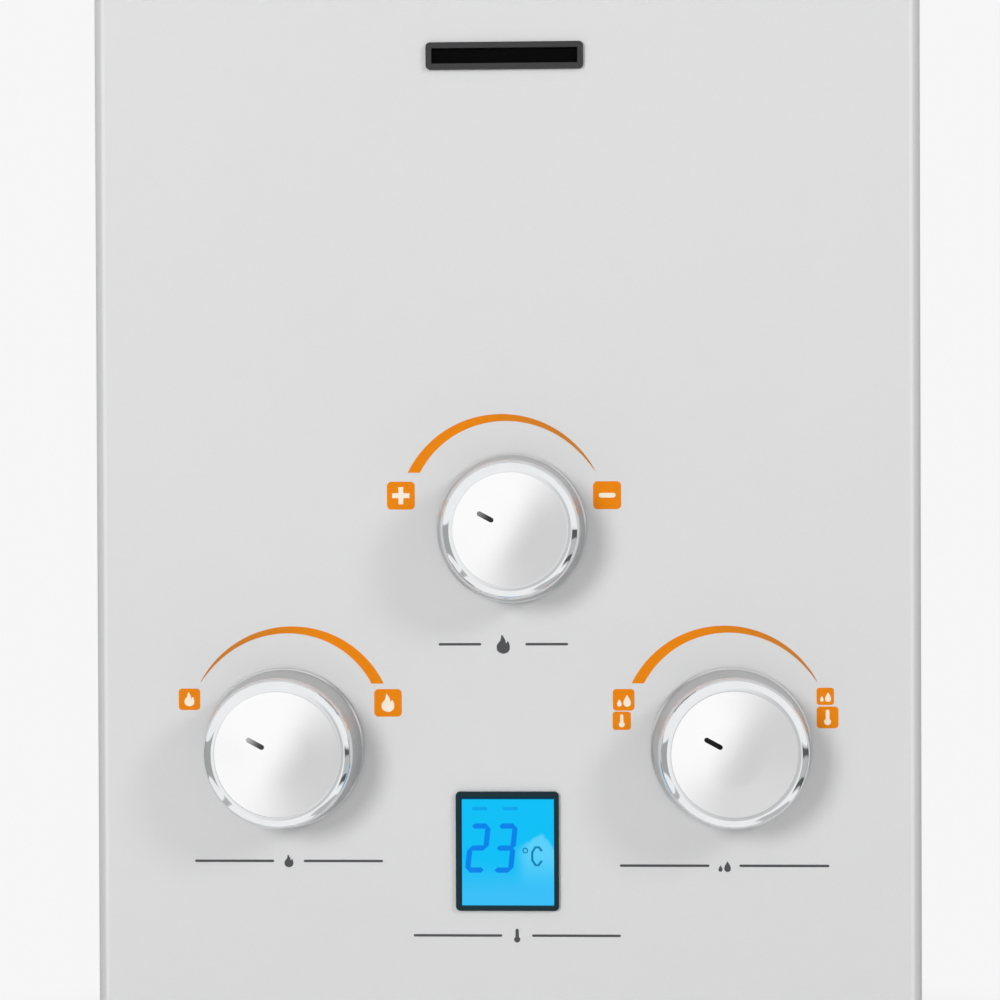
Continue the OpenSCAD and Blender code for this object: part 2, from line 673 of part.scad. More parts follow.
// The box hangs from the bottom plate by its rim, and its mouth faces down.
box_half = box_in_w / 2;
lug_x = [12, 26];
module battery_box() color("DarkSlateGray") difference() {
    union() {
        block([box_x - box_half - box_wall, box_x + box_half + box_wall],
              [box_d[0] - box_wall, box_d[1] + box_wall],
              [floor_z - rim_t, floor_z + 2 * cell_r + 4 + box_wall]);
        block([box_x - box_half - rim, box_x + box_half + rim],
              [box_d[0] - rim - 2, box_d[1] + rim], [floor_z - rim_t, floor_z]);
        for (s = [-1, 1], e = [lug_x[0] - 5, lug_x[1] + 0.4]) {
            x = box_x + (s > 0 ? e : -e - 4.6);
            bar_x(knuckle_r, [x, x + 4.6], pin_d, pin_z);
            block([x, x + 4.6], [pin_d - knuckle_r, pin_d + knuckle_r], [pin_z, floor_z - rim_t + 0.5]);
        }
    }
    block([box_x - box_half, box_x + box_half], box_d, [floor_z - 5, floor_z + 2 * cell_r + 4]);
    bar_x(pin_r + running_fit, [box_x - 40, box_x + 40], pin_d, pin_z);
}

module cells() color("Khaki") for (s = [-1, 1]) {
    x = box_x + s * (cell_r + cell_gap / 2);
    z = floor_z + cell_r + 3.7;
    bar_y(cell_r, x, [box_d[0] + 1.2, box_d[0] + cell_l - 0.3], z);
    bar_y(5, x, [box_d[0] + 1.2, box_d[1] - 1.3], z);
}

module battery_contacts() color("LightGray") {
    z = [floor_z + cell_r - 4, floor_z + cell_r + 12];
    block([box_x - box_half + 6, box_x + box_half - 6], [box_d[0], box_d[0] + 1], z);
    for (s = [-1, 1])
        block([box_x + s * cell_r - 8, box_x + s * cell_r + 8], [box_d[1] - 1, box_d[1]], z);
}

module door_pin() color("LightGray") bar_x(pin_r, [box_x - 31, box_x + 31], pin_d, pin_z);

module battery_door() color("DarkSlateGray") difference() {
    z = [floor_z - rim_t - slip - door_t, floor_z - rim_t - slip];
    union() {
        block([box_x - box_half - 3, box_x + box_half + 3], [box_d[0], box_d[1] + 3], z);
        block([box_x - 9, box_x + 9], [box_d[1] + 2, box_d[1] + rim], z);
        for (i = [0 : 4])
            block([box_x - 14, box_x + 14], [box_d[1] - 8 - 3 * i, box_d[1] - 6.5 - 3 * i],
                  [z[0] - 0.8, z[0] + 0.5]);
        for (s = [-1, 1]) {
            x = s > 0 ? box_x + lug_x[0] : box_x - lug_x[1];
            bar_x(knuckle_r, [x, x + lug_x[1] - lug_x[0]], pin_d, pin_z);
            block([x, x + lug_x[1] - lug_x[0]], [pin_d, box_d[0] + 1], [pin_z, pin_z + knuckle_r - 0.2]);
        }
    }
    bar_x(pin_r + running_fit, [box_x - 40, box_x + 40], pin_d, pin_z);
}

spark_x = 1.5 * bar_pitch;
spark_z = core_z + 6;
ign_x = [-spark_x - 12, spark_x + 12];
ign_d = [4, 34];
ign_z = [58, 110];
module ignition_box() color("WhiteSmoke") difference() {
    union() {
        block(ign_x, ign_d, ign_z);
        for (x = [ign_x[0] - 8, ign_x[1] - 4]) block([x, x + 12], [sheet, 7], [ign_z[0] + 18, ign_z[0] + 34]);
        for (i = [-1 : 1])
            block([i * spark_x - 6, i * spark_x + 6], [10, 24], [ign_z[1], ign_z[1] + 3]);
    }
    block([ign_x[0] - 1, ign_x[1] + 1], [ign_d[1] - 8, ign_d[1] - 7.2], [ign_z[0] - 1, ign_z[0] + 1]);
}

module electrode_insulators() color("Ivory") for (s = [-1, 1]) difference() {
    union() {
        bar_y(4.5, s * spark_x, [core_front - 8, core_front + 18], spark_z);
        bar_y(6.5, s * spark_x, [core_front, core_front + 5], spark_z);
    }
    bar_y(1.1, s * spark_x, [core_front - 9, core_front + 19], spark_z);
}
module electrode_rods() color("LightGray") for (s = [-1, 1])
    bent_tube([[s * spark_x, core_front + 20, spark_z, 0], [s * spark_x, core_mid + 14, spark_z, 3],
               [s * spark_x, core_mid + 14, spark_z - 5, 0]], 1);

module overheat_switch() color("DarkSlateGray") {
    bar_y(11, 70, [core_front, core_front + 1], run_z);
    bar_y(8, 70, [core_front, core_front + 6], run_z);
    for (x = [66, 74])
        block([x - 1.5, x + 1.5], [core_front + 5, core_front + 13], [run_z - 0.4, run_z + 0.4]);
}

// Spark and flame leads, then the solenoid, switch, battery and display leads.
module wire_loom() color("DarkRed") {
    lead_d = mani_front + 6;
    for (x = [-spark_x, spark_x])
        bent_tube([[x, core_front + 20, spark_z, 0], [x, lead_d, spark_z, 8],
            [x, lead_d, saver_z - 34, 8], [x, 17, saver_z - 34, 8], [x, 17, ign_z[1] + 3, 0]], 2.2);
    bent_tube([[gas_left - 16, valve_d, valve_z - 14.05, 0], [gas_left - 16, valve_d, 84, 7],
        [gas_left - 16, valve_d - 34, 84, 7], [ign_x[0] - 16, valve_d - 34, 84, 7],
        [ign_x[0] - 16, 20, 84, 7], [ign_x[0], 20, 84, 0]], 1.6);
    bent_tube([[switch_left + 8, valve_d - 5, valve_z + 17, 0], [switch_left + 8, 52, valve_z + 17, 7],
        [switch_left + 8, 52, 96, 7], [switch_left + 8, ign_d[1], 96, 0]], 1.6);
    bent_tube([[box_x + 12, box_d[0] + 20, floor_z + 2 * cell_r + 4 + box_wall, 0],
        [box_x + 12, box_d[0] + 20, 56, 4], [box_x + 12, 52, 56, 7],
        [box_x + 12, 52, 72, 7], [box_x + 12, ign_d[1], 72, 0]], 1.6);
    bent_tube([[-8, front_in - 14, 76, 0], [-8, 100, 76, 7], [-8, 100, 61, 7],
        [-8, 52, 61, 7], [-8, 52, 76, 7], [-8, ign_d[1], 76, 0]], 1.6);
}

neck_w = display_w - 2 - 2 * slip;
neck_h = display_h - 2 - 2 * slip;
module display_housing() color("DimGray") difference() {
    on_panel(0, display_z) translate([0, 0, -sheet - 14]) linear_extrude(14)
        round_rect(display_w + 7, display_h + 7, 3);
    on_panel(0, display_z) translate([0, 0, -sheet - 4.2]) linear_extrude(6)
        square([neck_w + 2 * slip, neck_h + 2 * slip], center = true);
}
module display_bezel() color("DarkSlateGray") difference() {
    on_panel(0, display_z) {
        linear_extrude(lid_t) round_rect(display_w, display_h, 1.6);
        translate([0, 0, -sheet - 4]) linear_extrude(sheet + 4.5) square([neck_w, neck_h], center = true);
    }
    on_panel(0, display_z) translate([0, 0, -10]) linear_extrude(20)
        square([display_w - 2 * display_border, display_h - 2 * display_border], center = true);
}
module display_window() color("DeepSkyBlue")
    on_panel(0, display_z) translate([0, 0, -sheet - 4]) linear_extrude(sheet + 4 + lid_t - 0.7)
        square([display_w - 2 * display_border - 0.2, display_h - 2 * display_border - 0.2], center = true);

module sight_bezel() color("DimGray") difference() {
    on_panel(0, slot_z) {
        linear_extrude(lid_t) round_rect(slot_w, slot_h, 1.6);
        translate([0, 0, -sheet - 3]) linear_extrude(sheet + 3.5)
            square([slot_w - 2 - 2 * slip, slot_h - 2 - 2 * slip], center = true);
    }
    on_panel(0, slot_z) translate([0, 0, -10]) linear_extrude(20)
        square([slot_w - 2 * slot_border, slot_h - 2 * slot_border], center = true);
}
module sight_pane() color("Black")
    on_panel(0, slot_z) translate([0, 0, -sheet - 2]) linear_extrude(2.2)
        square([slot_w - 2 * slot_border - 0.2, slot_h - 2 * slot_border - 0.2], center = true);

// Knobs: a hollow skirt with a rounded chrome edge, a shallow cone let into it, a spindle with a flat.
function rim_r(r) = r - 2.2;
function cap_r(r) = rim_r(r) - bevel_r - 0.3;
rim_h = knob_h - bevel_r;
bore_h = knob_h - cap_t - 3;
flat_y = spindle_r * 0.6;
module knob_outline(r) {
    polygon([[0, knob_gap], [r, knob_gap], [r, knob_gap + 1.4], [r - 0.6, knob_gap + 2],
             [rim_r(r), rim_h], [0, rim_h]]);
    translate([0, rim_h - 0.5]) square([rim_r(r) - bevel_r, bevel_r + 0.5]);
    translate([rim_r(r) - bevel_r, rim_h]) circle(r = bevel_r);
}
module d_bore(r, flat, h) intersection() {
    cylinder(r = r, h = h);
    translate([-2 * r, -2 * r, 0]) cube([4 * r, 2 * r + flat, h]);
}
module knob_skirt(r) difference() {
    rotate_extrude() knob_outline(r);
    rotate_extrude() polygon([[hub_r, knob_gap - 1], [r - 2.4, knob_gap - 1],
        [rim_r(r) - 2.4, rim_h - 2], [hub_r, rim_h - 2]]);
    translate([0, 0, knob_h - cap_t]) cylinder(r = cap_r(r) + 0.1, h = cap_t + 1);
    d_bore(spindle_r + running_fit, flat_y + running_fit, bore_h);
}
// reach is the place of the pointer's middle, as a share of the cap's radius.
module knob_cap(r, reach) {
    slot_l = cap_r(r) * 0.32;
    floor_h = knob_h + cap_rise * (1 - reach - 0.16) - 0.3;
    difference() {
        rotate_extrude() polygon([[0, knob_h + cap_rise], [0.8, knob_h + cap_rise], [cap_r(r), knob_h],
            [cap_r(r), knob_h - cap_t], [0, knob_h - cap_t]]);
        rotate([0, 0, pointer_angle]) translate([cap_r(r) * reach, 0, floor_h])
            linear_extrude(5) slot_shape(slot_l, 1.8);
    }
}
// from is the depth of the spindle's inner end.
module spindle(x, z, from) {
    bar_y(spindle_r, x, [from, case_d + knob_gap - 0.2], z);
    on_panel(x, z) d_bore(spindle_r, flat_y, bore_h - 0.4);
}

module gas_knob() color("Gainsboro") on_panel(-knob_x, valve_z) knob_skirt(side_knob_r);
module gas_cap() color("WhiteSmoke") on_panel(-knob_x, valve_z) knob_cap(side_knob_r, 0.38);
module gas_spindle() color("Gray") spindle(-knob_x, valve_z, valve_d + 9);
module water_knob() color("Gainsboro") on_panel(knob_x, valve_z) knob_skirt(side_knob_r);
module water_cap() color("WhiteSmoke") on_panel(knob_x, valve_z) knob_cap(side_knob_r, 0.38);
module water_spindle() color("Gray") spindle(knob_x, valve_z, valve_d + 14);
module saver_knob() color("Gainsboro") on_panel(saver_x, saver_z) knob_skirt(saver_knob_r);
module saver_cap() color("WhiteSmoke") on_panel(saver_x, saver_z) knob_cap(saver_knob_r, 0.48);
module saver_spindle() color("Gray") spindle(saver_x, saver_z, mani_back + 6);

back_plate();
front_cover();
top_plate();
bottom_plate();
cover_screws();
support_brackets();
valve_bracket();
flue_collar();
draught_hood();
exchanger_shell();
exchanger_fins();
exchanger_tube();
view_pane();
burner_frame();
burner_bars();
gas_manifold();
saver_valve();
injectors();
gas_valve();
gas_solenoid();
gas_pipe();
gas_inlet();
water_valve();
diaphragm();
diaphragm_cover();
diaphragm_screws();
linkage_rod();
return_spring();
micro_switch();
switch_plunger();
cold_inlet();
cold_riser();
brass_nuts();
hot_pipe();
hot_outlet();
drain_valve();
battery_box();
battery_contacts();
cells();
door_pin();
battery_door();
ignition_box();
electrode_insulators();
electrode_rods();
overheat_switch();
wire_loom();
display_housing();
display_bezel();
display_window();
sight_bezel();
sight_pane();
gas_knob();
gas_cap();
gas_spindle();
water_knob();
water_cap();
water_spindle();
saver_knob();
saver_cap();
saver_spindle();
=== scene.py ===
"""Finishes, print and stage for a wall-hung tankless gas water heater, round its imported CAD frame."""

import json
from math import acos, ceil, copysign, cos, pi, radians, sin, tau

import bmesh
import bpy
from bpy.props import FloatProperty, FloatVectorProperty, IntProperty, PointerProperty
from mathutils import Matrix, Vector


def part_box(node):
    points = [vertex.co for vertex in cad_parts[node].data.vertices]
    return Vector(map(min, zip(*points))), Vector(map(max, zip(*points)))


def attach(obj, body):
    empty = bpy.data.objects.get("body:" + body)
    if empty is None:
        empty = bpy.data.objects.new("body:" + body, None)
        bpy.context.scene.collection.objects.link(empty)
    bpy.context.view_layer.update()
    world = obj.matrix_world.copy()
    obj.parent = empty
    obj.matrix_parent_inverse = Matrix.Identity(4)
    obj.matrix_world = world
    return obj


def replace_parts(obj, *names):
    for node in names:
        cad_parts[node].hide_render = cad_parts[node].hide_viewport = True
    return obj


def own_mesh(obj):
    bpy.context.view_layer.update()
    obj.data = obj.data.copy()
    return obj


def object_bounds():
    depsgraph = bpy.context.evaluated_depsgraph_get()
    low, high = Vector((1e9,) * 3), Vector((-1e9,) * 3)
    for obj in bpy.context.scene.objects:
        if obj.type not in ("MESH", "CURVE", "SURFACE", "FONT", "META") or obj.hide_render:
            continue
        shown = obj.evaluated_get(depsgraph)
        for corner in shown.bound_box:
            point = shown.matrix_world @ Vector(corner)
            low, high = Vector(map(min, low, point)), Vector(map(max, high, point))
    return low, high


bl_info = {
    "name": "Water heater finishes",
    "version": (1, 0, 0),
    "blender": (4, 5, 0),
    "location": "3D View > Sidebar > Heater",
    "description": "Finishes, panel print and stage of a tankless gas water heater",
    "category": "Material",
}

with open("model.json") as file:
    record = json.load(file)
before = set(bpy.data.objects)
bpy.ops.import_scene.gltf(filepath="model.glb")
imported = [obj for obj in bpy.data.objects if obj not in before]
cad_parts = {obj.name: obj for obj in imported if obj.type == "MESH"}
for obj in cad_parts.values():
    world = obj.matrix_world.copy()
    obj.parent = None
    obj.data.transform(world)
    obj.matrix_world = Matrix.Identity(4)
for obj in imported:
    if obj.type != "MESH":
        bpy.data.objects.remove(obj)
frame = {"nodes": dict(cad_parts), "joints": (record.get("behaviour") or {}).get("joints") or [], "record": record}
CAD_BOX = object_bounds()
NODES = frame["nodes"]
RECORD = frame["record"]
JOINTS = {joint["name"]: joint for joint in frame["joints"]}
MOUNTS = {mount["name"]: mount for mount in RECORD["mounts"]}
MM = 0.001
FACE_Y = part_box("front_cover")[0].y
COVER_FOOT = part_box("front_cover")[0].z

# Sizes of the CAD solids in mm: a cap's cone and flat tip, its pointer, a fitting's hexagon and bore
CAP_RISE, FLAT_TIP = 1.4, 0.85
POINTER_WIDTH, POINTER_DEPTH = 1.8, 0.3
HEX_HEIGHT, BORE_RADIUS, BORE_ABOVE_HEX = 8, 7.5, 18
# Length of a pointer as a share of its cap's radius, and its slant at rest
POINTER_SHARE, POINTER_SLANT = 0.32, radians(152)
# Screws at the cover's sides and foot: radius of the head behind and in front and length of the shank, then
# reach, half width, depth and taper of the cross recess, in mm
SIDE_SCREW, FOOT_SCREW = (4.0, 3.2, 7.0), (3.6, 3.0, 4.0)
RECESS_REACH, RECESS_HALF, RECESS_DEPTH, RECESS_TAPER = 1.9, 0.5, 1.2, 0.7
# CAD screws lie further apart than this, and those at the sides further above the cover's foot
SCREW_ROOM = 20 * MM
# Rows of points in a turn of thread, and metres from the floor's middle to its edge
THREAD_ROWS, FLOOR_REACH = 10, 4


# Shader trees


class Socket:
    """An output socket. Arithmetic on it adds Math nodes to its tree."""

    def __init__(self, tree, socket):
        self.tree = tree
        self.socket = socket

    def math(self, operation, *terms):
        return self.tree.node("ShaderNodeMath", {"operation": operation}, dict(enumerate(terms)))

    def __add__(self, other):
        return self.math("ADD", self, other)

    def __sub__(self, other):
        return self.math("SUBTRACT", self, other)

    def __rsub__(self, other):
        return self.math("SUBTRACT", other, self)

    def __mul__(self, other):
        return self.math("MULTIPLY", self, other)

    def __truediv__(self, other):
        return self.math("DIVIDE", self, other)

    def __abs__(self):
        return self.math("ABSOLUTE", self)

    def sine(self):
        return self.math("SINE", self)

    def step(self, low, high):
        """0 below low, 1 above high, smooth between."""
        sockets = {"Value": self, "From Min": low, "From Max": high}
        return self.tree.node("ShaderNodeMapRange", {"interpolation_type": "SMOOTHSTEP"}, sockets)

    def band(self, middle, half, soft):
        """1 within half of the middle, 0 further from it than soft."""
        return 1 - abs(self - middle).step(half, soft)

    def axis(self, name):
        return self.tree.node("ShaderNodeSeparateXYZ", sockets={"Vector": self}, out=name)

    __radd__ = __add__
    __rmul__ = __mul__


class Tree:
    """A node tree that is written as Python."""

    def __init__(self, tree):
        self.tree = tree

    def node(self, kind, settings=None, sockets=None, out=0):
        node = self.tree.nodes.new(kind)
        for name, value in (settings or {}).items():
            setattr(node, name, value)
        for name, value in (sockets or {}).items():
            self.put(node.inputs[name], value)
        return Socket(self, node.outputs[out]) if node.outputs else None

    def put(self, target, value):
        if isinstance(value, Socket):
            self.tree.links.new(value.socket, target)
        elif target.type == "RGBA" and len(value) == 3:
            target.default_value = (*value, 1)
        else:
            target.default_value = value

    def mix(self, factor, a, b):
        """Colour a where factor is 0, b where it is 1."""
        return self.node("ShaderNodeMix", {"data_type": "RGBA"}, {0: factor, 6: a, 7: b}, out=2)

    def tones(self, factor, colour, low, high):
        """A colour times low where factor is 0, times high where it is 1."""
        return self.mix(factor, tint(colour, low), tint(colour, high))

    def blend(self, share, a, b):
        """Shader a where share is 0, b where it is 1."""
        return self.node("ShaderNodeMixShader", sockets={0: share, 1: a, 2: b})

    def vector(self, operation, *terms, out=0):
        sockets = dict(enumerate(terms))
        return self.node("ShaderNodeVectorMath", {"operation": operation}, sockets, out)


class Finish(Tree):
    """A procedural material on a Principled shader; constants go straight on its sockets."""

    def __init__(self, name, constants=None):
        self.material = bpy.data.materials.new(name)
        self.material.use_nodes = True
        super().__init__(self.material.node_tree)
        self.shader = self.tree.nodes["Principled BSDF"]
        self.feed(constants or {})
        self.place = self.node("ShaderNodeTexCoord", out="Object")

    def feed(self, sockets):
        for name, value in sockets.items():
            self.put(self.shader.inputs[name], value)

    def cover(self, share, shader):
        """Mixes another shader over this one by share."""
        surface = self.tree.nodes["Material Output"].inputs["Surface"]
        self.put(surface, self.blend(share, Socket(self, surface.links[0].from_socket), shader))

    def stretched(self, x, y, z):
        """The place in the heater, stretched so that textures run along the smallest factor."""
        return self.vector("MULTIPLY", self.place, (x, y, z))

    def noise(self, grain, where=None, detail=3.0):
        """Noise from 0 to 1 whose blobs are about grain metres across."""
        sockets = {"Vector": where or self.place, "Scale": 1 / grain, "Detail": detail}
        return self.node("ShaderNodeTexNoise", sockets=sockets)

    def cells(self, grain):
        """A random colour for each crystal, about grain metres across."""
        sockets = {"Vector": self.place, "Scale": 1 / grain}
        return self.node("ShaderNodeTexVoronoi", sockets=sockets, out="Color")

    def lay(self, colour, rough, relief=None, depth=0.0):
        """Feeds a colour, a roughness and a relief that is depth metres high for each 1 in it."""
        self.feed({"Base Color": colour, "Roughness": rough})
        if relief:
            self.feed({"Normal": self.node("ShaderNodeBump", sockets={"Height": relief, "Distance": depth})})
        return self

    def radius(self, centre):
        """Distance from an axis along Y through centre."""
        offset = self.vector("SUBTRACT", self.place, centre)
        flat = self.vector("MULTIPLY", offset, (1, 0, 1))
        return self.vector("LENGTH", flat, out="Value")


def tint(colour, factor):
    return tuple(channel * factor for channel in colour)


def coat(node, finish):
    """Gives a finish to one CAD node."""
    materials = NODES[node].data.materials
    materials.clear()
    materials.append(finish.material)


def dress(finish, slot):
    """Gives a finish to every CAD node in a material slot of the record."""
    for part in RECORD["subparts"]:
        if part["material_slot"] == slot:
            coat(part["node"], finish)


# Finishes


def cover_paint(case):
    """Satin silver-grey stoving paint: fine flake, orange peel, a faint drift, painted shade round the upright
    folds and a painted highlight where each fold begins.
    """
    paint = Finish("cover paint", {"Coat Weight": 0.05, "Coat Roughness": 0.25, "Specular IOR Level": 0.3})
    flake = paint.noise(0.0004, detail=1.0)
    drift = paint.noise(0.09)
    shade = 0.985 + flake * 0.02 + drift * 0.012
    film = paint.tones(shade.step(0.985, 1.02), case.paint, 0.975, 1.015)
    bend = abs(paint.node("ShaderNodeNewGeometry", out="Normal").axis("X"))
    # Painted highlight (crest) where an upright fold begins and painted shade (fold) round the fold, found from
    # the sideways part of the normal
    crest = bend.step(0.04, 0.14) * (1 - bend.step(0.24, 0.38))
    fold = bend.step(0.28, 0.46) * (1 - bend.step(0.95, 0.995))
    film = paint.mix(crest, film, tint(case.paint, case.painted_fold_highlight))
    film = paint.mix(fold, film, tint(case.paint, case.painted_fold_shade))
    return paint.lay(film, case.paint_roughness - 0.03 + drift * 0.06, paint.noise(0.0018), 0.000012)


def galvanised(case):
    """Hot-dipped sheet: crystal spangle, each crystal with its own shade and polish."""
    sheet = Finish("galvanised sheet", {"Metallic": 0.9})
    spangle = sheet.cells(0.006).axis("X")
    frost = sheet.noise(0.0012)
    stain = sheet.noise(0.06).step(0.55, 0.8)
    crystal = sheet.tones(spangle, case.zinc, 0.9, 1.06)
    stained = sheet.mix(stain * 0.35, crystal, tint(case.zinc, 0.6))
    return sheet.lay(stained, 0.36 + spangle * 0.1 + frost * 0.1, frost, 0.00001)


def plated_steel(name, colour, rough):
    """Zinc-plated steel: cloudy plating with fine draw lines."""
    steel = Finish(name, {"Metallic": 1.0})
    cloud = steel.noise(0.006)
    lines = steel.noise(0.0008, steel.stretched(1, 1, 0.08))
    return steel.lay(steel.tones(cloud, colour, 0.82, 1.1), rough + lines * 0.12, lines, 0.00001)


def brushed_steel(name, colour, heat):
    """Rolled stainless steel with a straw and blue heat tint above height heat."""
    steel = Finish(name, {"Metallic": 1.0})
    lines = steel.noise(0.0007, steel.stretched(0.05, 1, 1))
    patch = steel.noise(0.02)
    height = steel.place.axis("Z") + patch * 0.012
    straw = steel.mix(height.step(heat - 0.03, heat), colour, (0.55, 0.42, 0.26))
    blue = steel.mix(height.step(heat - 0.008, heat + 0.01) * 0.8, straw, (0.2, 0.21, 0.33))
    return steel.lay(blue, 0.24 + lines * 0.2, lines, 0.000012)


def copper(works):
    """Drawn copper: bright and pink, with brown oxide in patches and soldering heat tint."""
    metal = Finish("copper", {"Metallic": 1.0})
    patch = metal.noise(0.018, detail=5.0)
    speck = metal.noise(0.003)
    oxide = metal.tones(speck, works.copper, 0.35, 0.6)
    colour = metal.mix(patch.step(0.48, 0.72), works.copper, oxide)
    return metal.lay(colour, 0.24 + patch * 0.25, speck, 0.00001)


def brass(works):
    """Forged brass: sand-grained skin, a little tarnish in the lows."""
    metal = Finish("brass", {"Metallic": 1.0})
    grain = metal.noise(0.0009)
    tarnish = metal.noise(0.012, detail=4.0).step(0.5, 0.75)
    colour = metal.tones(tarnish * 0.6, works.brass, 1.0, 0.55)
    return metal.lay(colour, 0.27 + grain * 0.14 + tarnish * 0.12, grain, 0.00003)


def cast_aluminium(works):
    """Die-cast aluminium: dull skin with fine pits and flow marks."""
    metal = Finish("die-cast aluminium", {"Metallic": 0.9})
    pits = metal.noise(0.0012)
    flow = metal.noise(0.015, metal.stretched(1, 1, 0.3), detail=4.0)
    return metal.lay(metal.tones(flow, works.aluminium, 0.78, 1.08), 0.45 + pits * 0.2, pits, 0.00004)


def moulded(name, colour, rough, grain=0.0007, depth=0.00002, constants=None):
    """Moulded plastic or rubber: spark-eroded grain and a slight drift in shade."""
    plastic = Finish(name, constants)
    texture = plastic.noise(grain, detail=2.0)
    drift = plastic.noise(0.025)
    shade = plastic.tones(drift, colour, 0.85, 1.15)
    return plastic.lay(shade, rough - 0.06 + texture * 0.12, texture, depth)


def mica():
    """Mica pane: honey-coloured plates in flakes."""
    pane = Finish("mica", {"Coat Weight": 0.4})
    flake = pane.cells(0.012).axis("Y")
    vein = pane.noise(0.004, detail=5.0)
    honey = pane.mix(flake, (0.5, 0.42, 0.26), (0.72, 0.66, 0.5))
    return pane.lay(honey, 0.12 + vein * 0.2, flake, 0.00004)


def braided_sleeve():
    """Black braided sleeve: two crossing sets of strands."""
    sleeve = Finish("braided sleeve", {"Sheen Weight": 0.2})
    x, y, z = (sleeve.place.axis(name) for name in "XYZ")
    turns = tau / 0.0016
    strands = ((x + y + z) * turns).sine() * ((x - y - z) * turns).sine()
    weave = strands * 0.5 + 0.5
    black = sleeve.mix(weave, (0.018, 0.018, 0.02), (0.06, 0.06, 0.065))
    return sleeve.lay(black, 0.55 + weave * 0.2, weave, 0.0001)


def cell_wrap(works):
    """Cell jacket: black with a copper-coloured band at its front end."""
    jacket = Finish("cell jacket", {"Coat Weight": 0.6, "Coat Roughness": 0.1})
    low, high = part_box("cells")
    along = (jacket.place.axis("Y") - low.y) / (high.y - low.y)
    band = 1 - along.step(0.27, 0.29)
    scuff = jacket.noise(0.004, detail=5.0).step(0.6, 0.8)
    body = jacket.mix(band, (0.02, 0.02, 0.022), works.copper)
    jacket.feed({"Metallic": band * 0.8})
    return jacket.lay(jacket.mix(scuff * 0.15, body, (0.5, 0.5, 0.5)), 0.28 + scuff * 0.25)


def chrome(knobs):
    """Plated chrome over moulded plastic: a mirror-bright edge, a satin wall and foot. The wall's darker colour is
    partly the satin plating and partly painted shade of the shadowed panel that it mirrors.
    """
    plate = Finish("knob chrome", {"Metallic": 1.0})
    haze = plate.noise(0.006)
    wave = plate.noise(0.012, detail=1.0)
    depth = plate.place.axis("Y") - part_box("gas_knob")[0].y
    wall = depth.step(knobs.bright_edge, knobs.bright_edge + 0.5 * MM)
    foot = (plate.place.axis("Y") - FACE_Y).step(-2.9 * MM, -2.6 * MM)
    bright = plate.tones(haze, knobs.chrome, 0.95, 1.03)
    # Painted shade: the wall's darker colour stands partly for the shadowed panel it mirrors, partly for the satin
    # plating
    colour = plate.mix(wall * (1 - foot * 0.3), bright, knobs.wall)
    return plate.lay(colour, 0.035 + haze * 0.05 + wall * 0.25, wave, 0.00001)


def satin_cap(name, knobs, centre, slope):
    """Satin plated cap, spun round its axis: fine rings in polish and height, the cone rubbed to a dome."""
    cap = Finish(name, {"Metallic": 1.0})
    reach = cap.radius(centre)
    ring = cap.noise(0.0005, reach, detail=2.0)
    out = reach.math("MAXIMUM", reach, FLAT_TIP * MM)
    rubbed = out.math("MINIMUM", out, knobs.tip_round)
    crown = (rubbed - rubbed * rubbed / (2 * knobs.tip_round)) * knobs.cap_lean
    relief = ring * 0.000003 + (crown - out * (knobs.cap_lean - 1)) * slope
    colour = cap.tones(cap.noise(0.008) * 0.5 + ring * 0.5, knobs.cap, 0.97, 1.02)
    return cap.lay(colour, knobs.cap_roughness - 0.03 + ring * 0.06, relief, 1.0)


def ink(name, colour):
    """Screen-print ink: slightly uneven film."""
    film = Finish(name, {"Specular IOR Level": 0.05})
    thin = film.noise(0.0012, detail=4.0)
    return film.lay(film.tones(thin, colour, 0.94, 1.05), 0.45 + thin * 0.1, thin, 0.00001)


def pointer_ink(name, centre, reaches, greys):
    """Ink in a pointer, going from one grey to another between two distances from the knob's axis."""
    film = Finish(name, {"Specular IOR Level": 0.05})
    thin = film.noise(0.0012, detail=4.0)
    grey_shift = film.radius(centre).step(*reaches)
    colour = film.mix(grey_shift, *((grey, grey, grey) for grey in greys))
    return film.lay(colour, 0.5 + thin * 0.1, thin, 0.00001)


def tapered_ink(look):
    """Orange ink that turns browner where a scale arc runs thin."""
    film = Finish("scale ink", {"Specular IOR Level": 0.05})
    thick = film.node("ShaderNodeAttribute", {"attribute_name": "thickness"}, out="Fac")
    spots = film.noise(0.0015, detail=4.0)
    full = film.tones(spots, look.orange, 0.95, 1.05)
    colour = film.mix(thick.step(0.1, 0.75), look.thin_orange, full)
    return film.lay(colour, 0.4 + spots * 0.12, spots, 0.00001)


def lit_window(display):
    """Backlit window: brighter to the foot, with a pale cloud at mid-height on the right, and a painted shadow of
    the bezel along its top and left edges.
    """
    glass = Finish("lit window", {"Base Color": (0.0, 0.02, 0.04), "Roughness": 0.16,
                                  "Specular IOR Level": 0.08, "Emission Strength": display.glow})
    low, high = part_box("display_window")
    across = (glass.place.axis("X") - low.x) / (high.x - low.x)
    height = (glass.place.axis("Z") - low.z) / (high.z - low.z)
    patch = glass.noise(0.007, detail=4.0)
    foot = 1 - (height + patch * 0.12).step(0.12, 0.5)
    crown = 0.64 - abs(across - 0.85) * 0.45 + (patch - 0.5) * 0.3
    cloud = (crown - height).step(-0.02, 0.05) * across.step(0.55, 0.75) * height.step(0.1, 0.5)
    plain = glass.mix(foot, display.backlight, display.foot_light)
    lit = glass.mix(cloud * 0.85, plain, display.cloud_light)
    # Painted shadow of the bezel: the glow falls to dark in a thin band along the top and the left edge
    clear_of_painted_shadow = 1 - (1 - height.step(0.972, 0.982)) * across.step(0.004, 0.014)
    glass.feed({"Emission Color": glass.mix(clear_of_painted_shadow, lit, (0.0, 0.02, 0.045))})
    return glass


